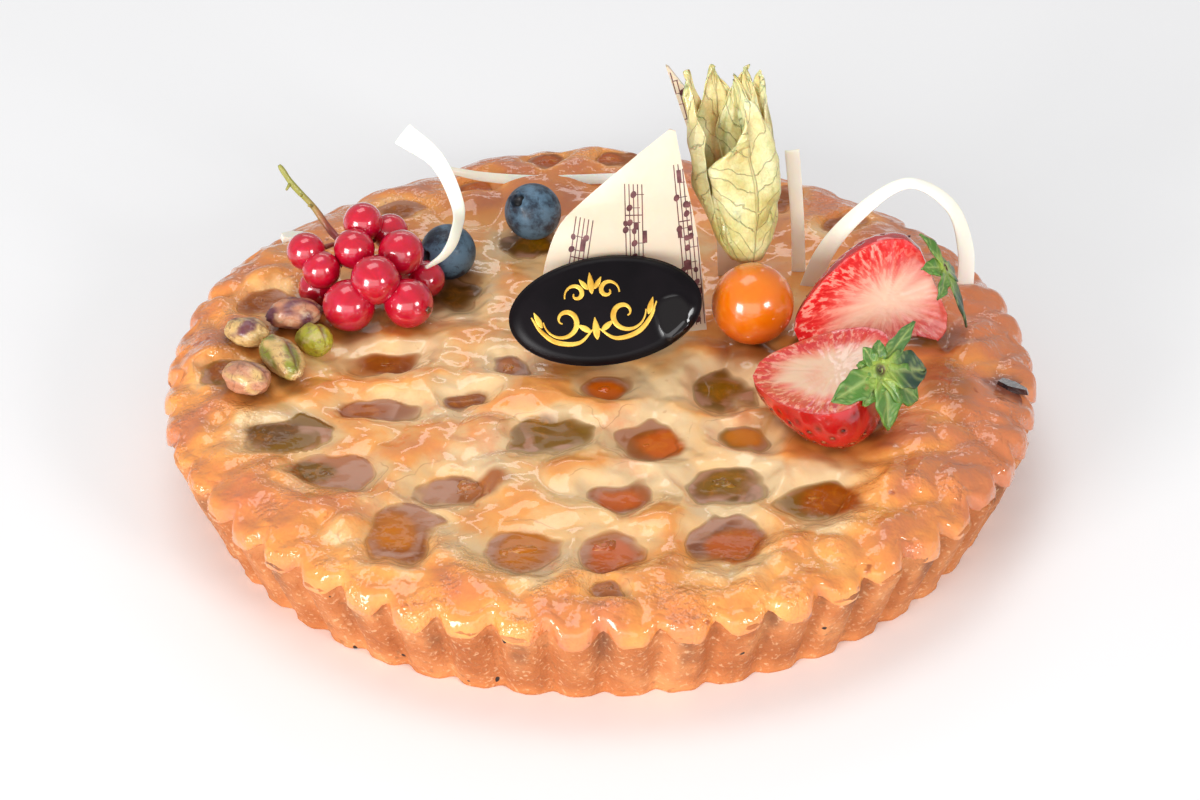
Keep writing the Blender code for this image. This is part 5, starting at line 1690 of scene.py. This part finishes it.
def chocolate_plaque():
    """Rings from the flat back, round the edge and over the face, where the glaze makes it thicker."""
    half = PLAQUE_THICKNESS / 2
    rings = [(0.3, -half), (0.7, -half), (0.94, -half), (0.985, -half + 0.35), (1.0, -0.5), (1.0, 0.4)]
    rings += [(1 - 0.045 * (1 - cos(pi * k / 10)), None) for k in range(1, 6)]
    rings += [(0.9 - 0.03 * k, None) for k in range(1, 30)]
    rows = []
    wet = []
    for share, level in rings:
        line = []
        for k in range(PLAQUE_SIDES):
            angle = tau * k / PLAQUE_SIDES
            x = share * PLAQUE_LENGTH / 2 * cos(angle)
            y = share * PLAQUE_WIDTH / 2 * sin(angle)
            glaze = glaze_run(x, y) if level is None else 0.0
            rim = 4 * glaze * (1 - glaze)
            z = level if level is not None else plaque_height(x, y) + 0.25 * rim + 0.45 * glaze
            line.append(tuple(PLAQUE_PLACE @ Vector((x, y, z))))
            wet.append(glaze)
        rows.append(line)
    skin = Skin()
    skin.stack(rows)
    plaque = skin.piece("oval_plaque", plaque_material())
    store(plaque.data, "wet", [*wet, 0.0, 0.0])
    return plaque


def gold_strip(skin, line, widths):
    """A flat raised stroke on the plaque, wider or narrower along its way."""
    rows = []
    for i, spot in enumerate(line):
        way = path_way(line, i)
        side = Vector((-way.y, way.x)) * widths[i] / 2
        row = []
        for shift in (-1, -0.5, 0, 0.5, 1):
            place = spot + side * shift
            height = plaque_height(place.x, place.y) + GOLD_LIFT + 0.04 * (1 - abs(shift))
            row.append(PLAQUE_PLACE @ Vector((place.x, place.y, height)))
        rows.append(row)
    skin.sheet(rows, GOLD_THICKNESS)


def scroll(start, turn, size, winds, thick):
    """A spiral stroke that swells in its middle, and its widths."""
    line = []
    widths = []
    for i in range(SCROLL_STEPS + 1):
        t = i / SCROLL_STEPS
        angle = turn + copysign(1, winds) * (t ** 1.15) * abs(winds) * tau
        reach = size * (1 - 0.86 * t)
        line.append(Vector((start[0] + reach * cos(angle), start[1] + reach * sin(angle))))
        widths.append(0.35 + thick * sin(pi * t) ** 2)
    return line, widths


def drop(side, start, way, length, width):
    """A leaf-shaped stroke, and its widths."""
    start = Vector((side * start[0] + GOLD_MIDDLE, start[1]))
    way = Vector((side * way[0], way[1])).normalized()
    shares = [k / DROP_STEPS for k in range(DROP_STEPS + 1)]
    return [start + way * length * share for share in shares], [
        0.15 + width * sin(pi * share ** 0.8) for share in shares]


def gold_scrolls():
    """A plain scroll ornament: a sprig over two pairs of mirrored spirals."""
    strokes = []
    for side in (-1, 1):
        low = (side * 7.6 + GOLD_MIDDLE, -1.6)
        high = (side * 4.0 + GOLD_MIDDLE, 4.6)
        strokes.append(scroll(low, pi / 2 - side * 1.5, 5.2, -side * 1.15, 1.0))
        strokes.append(scroll(high, -pi / 2 + side * 1.3, 2.9, side * 1.1, 0.8))
        sweep = smooth_path([(side * x + GOLD_MIDDLE, y) for x, y in SWEEP], 12)
        last = len(sweep) - 1
        strokes.append((sweep, [0.3 + 0.9 * sin(pi * k / last) for k in range(last + 1)]))
        strokes += [drop(side, *sizes) for sizes in SIDE_DROPS]
    strokes += [drop(1, *sizes) for sizes in MIDDLE_DROPS]
    skin = Skin()
    for line, widths in strokes:
        gold_strip(skin, line, widths)
    look = Look("gold_print", 0.38, Metallic=0.35)
    tone = ramp(look.speckle(260.0, 3.0), (0.3, (214, 158, 48)), (0.7, (252, 214, 96)))
    return skin.piece("gold_scrolls", look.done(Base_Color=tone))


plaque = chocolate_plaque()
gold = gold_scrolls()
for piece in (plaque, gold):
    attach(piece, "root")
    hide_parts("chocolate_plaque")


# White chocolate curls.
# Thin ribbons of white chocolate, pulled and set in bends: one that arches over the blueberry, one
# lying at the back, one that arches at the right, and one that stands on end.

CURL_THICKNESS = 1.1
CURL_STEPS = 14

# Ribbons: x, y, z and width along the middle line, and the way that the ribbon faces at each
CURLS = {
    "curl_left": (
        ((-50.8, 58.0, 58.7, 6.8), (-41.6, 52.0, 53.5, 5.0), (-36.1, 42.0, 45.6, 3.8),
         (-36.6, 33.0, 42.0, 3.6), (-39.4, 28.8, 38.6, 3.0), (-44.2, 27.0, 36.0, 1.4)),
        ((-0.3, -0.6, 0.75), (-0.4, -0.8, 0.5), (0.2, -0.95, 0.2), (0.5, -0.85, 0.2), (0.3, -0.9, -0.3),
         (0.2, -0.9, -0.4)),
    ),
    "curl_back": (
        ((-41.0, 82.0, 34.6, 2.2), (-30.4, 84.0, 31.0, 3.0), (-16.0, 84.6, 29.4, 3.2),
         (-2.0, 83.0, 30.4, 3.2), (7.0, 80.0, 32.4, 3.0)),
        ((0.0, -0.85, 0.5),) * 5,
    ),
    "curl_right": (
        ((54.6, 30.0, 25.6, 5.6), (58.0, 30.0, 36.3, 5.2), (64.1, 29.0, 46.4, 4.6), (74.1, 28.0, 56.6, 4.0),
         (81.6, 27.4, 58.0, 3.8), (90.2, 27.0, 51.0, 4.2), (94.2, 26.6, 39.0, 4.8), (94.8, 27.0, 25.6, 4.8)),
        ((-0.1, -0.95, 0.2), (-0.4, -0.85, 0.3), (-0.5, -0.75, 0.45), (-0.3, -0.45, 0.85), (0.1, -0.4, 0.9),
         (0.6, -0.75, 0.4), (0.3, -0.95, 0.1), (0.1, -1.0, 0.0)),
    ),
    "curl_upright": (
        ((52.6, 37.0, 25.0, 4.0), (51.8, 38.0, 42.0, 3.8), (50.0, 40.0, 61.6, 4.2)),
        ((0.0, -1.0, 0.1), (0.0, -1.0, 0.1), (0.0, -1.0, 0.2)),
    ),
}

for curl_name, (curl_line, curl_ways) in CURLS.items():
    line = smooth_path(curl_line, CURL_STEPS)
    ribbon = []
    for i, (point, facing) in enumerate(zip(line, smooth_path(curl_ways, CURL_STEPS))):
        ahead = (line[min(i + 1, len(line) - 1)] - line[max(i - 1, 0)]).xyz
        across = ahead.cross(facing).normalized() * (point.w / 2 - 0.2)
        dished = across.cross(ahead).normalized() * 0.12 * point.w
        ribbon.append([point.xyz + across * u - dished * u * u * 0.6 for u in (-1, -0.6, -0.2, 0.2, 0.6, 1)])
    curl_skin = Skin()
    curl_skin.sheet(ribbon, CURL_THICKNESS * 0.6)
    curl = curl_skin.piece(f"ribbon_{curl_name}", WHITE_CHOCOLATE)
    bevel = curl.modifiers.new("soft_edge", "BEVEL")
    bevel.width = 0.2 * MM
    bevel.segments = 2
    bevel.limit_method = "ANGLE"
    bevel.angle_limit = radians(50.0)
    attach(curl, "root")
    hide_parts(curl_name)


# Chip and burnt edge.
# A broken bit of white chocolate at the back left, and a blade of burnt custard at the right rim
# that has gone black and shiny.

def char_material():
    look = Look("charred_crumb", 0.2, Coat_Weight=1.0, Coat_Roughness=0.05)
    tone = ramp(look.speckle(500.0, 3.0), (0.4, (16, 14, 22)), (0.7, (60, 30, 26)))
    return look.done(Base_Color=tone, Normal=wet_normal(look, 0.4, 0.1))


for bit_name, bit_material in (("white_chip", WHITE_CHOCOLATE), ("charred_bit", char_material())):
    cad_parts[bit_name].data.materials.clear()
    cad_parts[bit_name].data.materials.append(bit_material)


# Floor, light and camera.
# A plain pale table in soft white light from all round, with a soft box at each side of the camera
# and others in front, above and behind, and a long lens that looks down on the tart.

CAMERA_DISTANCE = 0.632
CAMERA_ELEVATION = 33.8
CAMERA_TARGET = Vector((0.0, 0.0, 0.0125))
CAMERA_ROLL = 0.85
CAMERA_LENS = 75.0
CAMERA_SENSOR = 36.0
FLOOR_SIZE = 12.0
ROOM_LIGHT = 0.43

# Soft boxes: place and size in metres, and power
SOFT_BOXES = {
    "left_box": ((-0.95, -1.13, 0.36), (0.54, 0.6), 17.0),
    "right_box": ((0.98, -1.05, 0.54), (0.36, 0.38), 8.0),
    "back_box": ((0.1, 1.4, 1.02), (1.0, 0.22), 1.6),
    "top_box": ((-0.2, 0.35, 1.5), (0.9, 0.7), 5.0),
    "front_box": ((-0.1, -1.8, 0.6), (1.7, 1.0), 10.0),
}

for box_name, (place, size, power) in SOFT_BOXES.items():
    light = bpy.data.lights.new(box_name, "AREA")
    light.shape = "RECTANGLE"
    light.size, light.size_y = size
    light.energy = power
    box = bpy.data.objects.new(box_name, light)
    box.location = place
    box.rotation_euler = (CAMERA_TARGET - Vector(place)).to_track_quat("-Z", "Y").to_euler()
    bpy.context.scene.collection.objects.link(box)

world = bpy.data.worlds.new("white_room")
world.use_nodes = True
world.node_tree.nodes["Background"].inputs["Color"].default_value = (1.0, 1.0, 1.0, 1.0)
world.node_tree.nodes["Background"].inputs["Strength"].default_value = ROOM_LIGHT
bpy.context.scene.world = world

floor_material = Look("pale_floor", 0.6, Base_Color=(0.99, 0.99, 1.0, 1.0)).material
half = FLOOR_SIZE / 2 / MM
floor_corners = [(-half, -half, 0), (half, -half, 0), (half, half, 0), (-half, half, 0)]
floor = mesh_object("floor", floor_corners, [(0, 1, 2, 3)], floor_material)

elevation = radians(CAMERA_ELEVATION)
camera = bpy.data.objects.new("camera", bpy.data.cameras.new("camera"))
camera.data.lens = CAMERA_LENS
camera.data.sensor_width = CAMERA_SENSOR
camera.location = CAMERA_TARGET + CAMERA_DISTANCE * Vector((0.0, -cos(elevation), sin(elevation)))
aim = Matrix.Rotation(radians(90.0 - CAMERA_ELEVATION), 4, "X")
camera.rotation_euler = (aim @ Matrix.Rotation(radians(-CAMERA_ROLL), 4, "Z")).to_euler()
bpy.context.scene.collection.objects.link(camera)
bpy.context.scene.camera = camera
bpy.context.scene.view_settings.view_transform = "Standard"
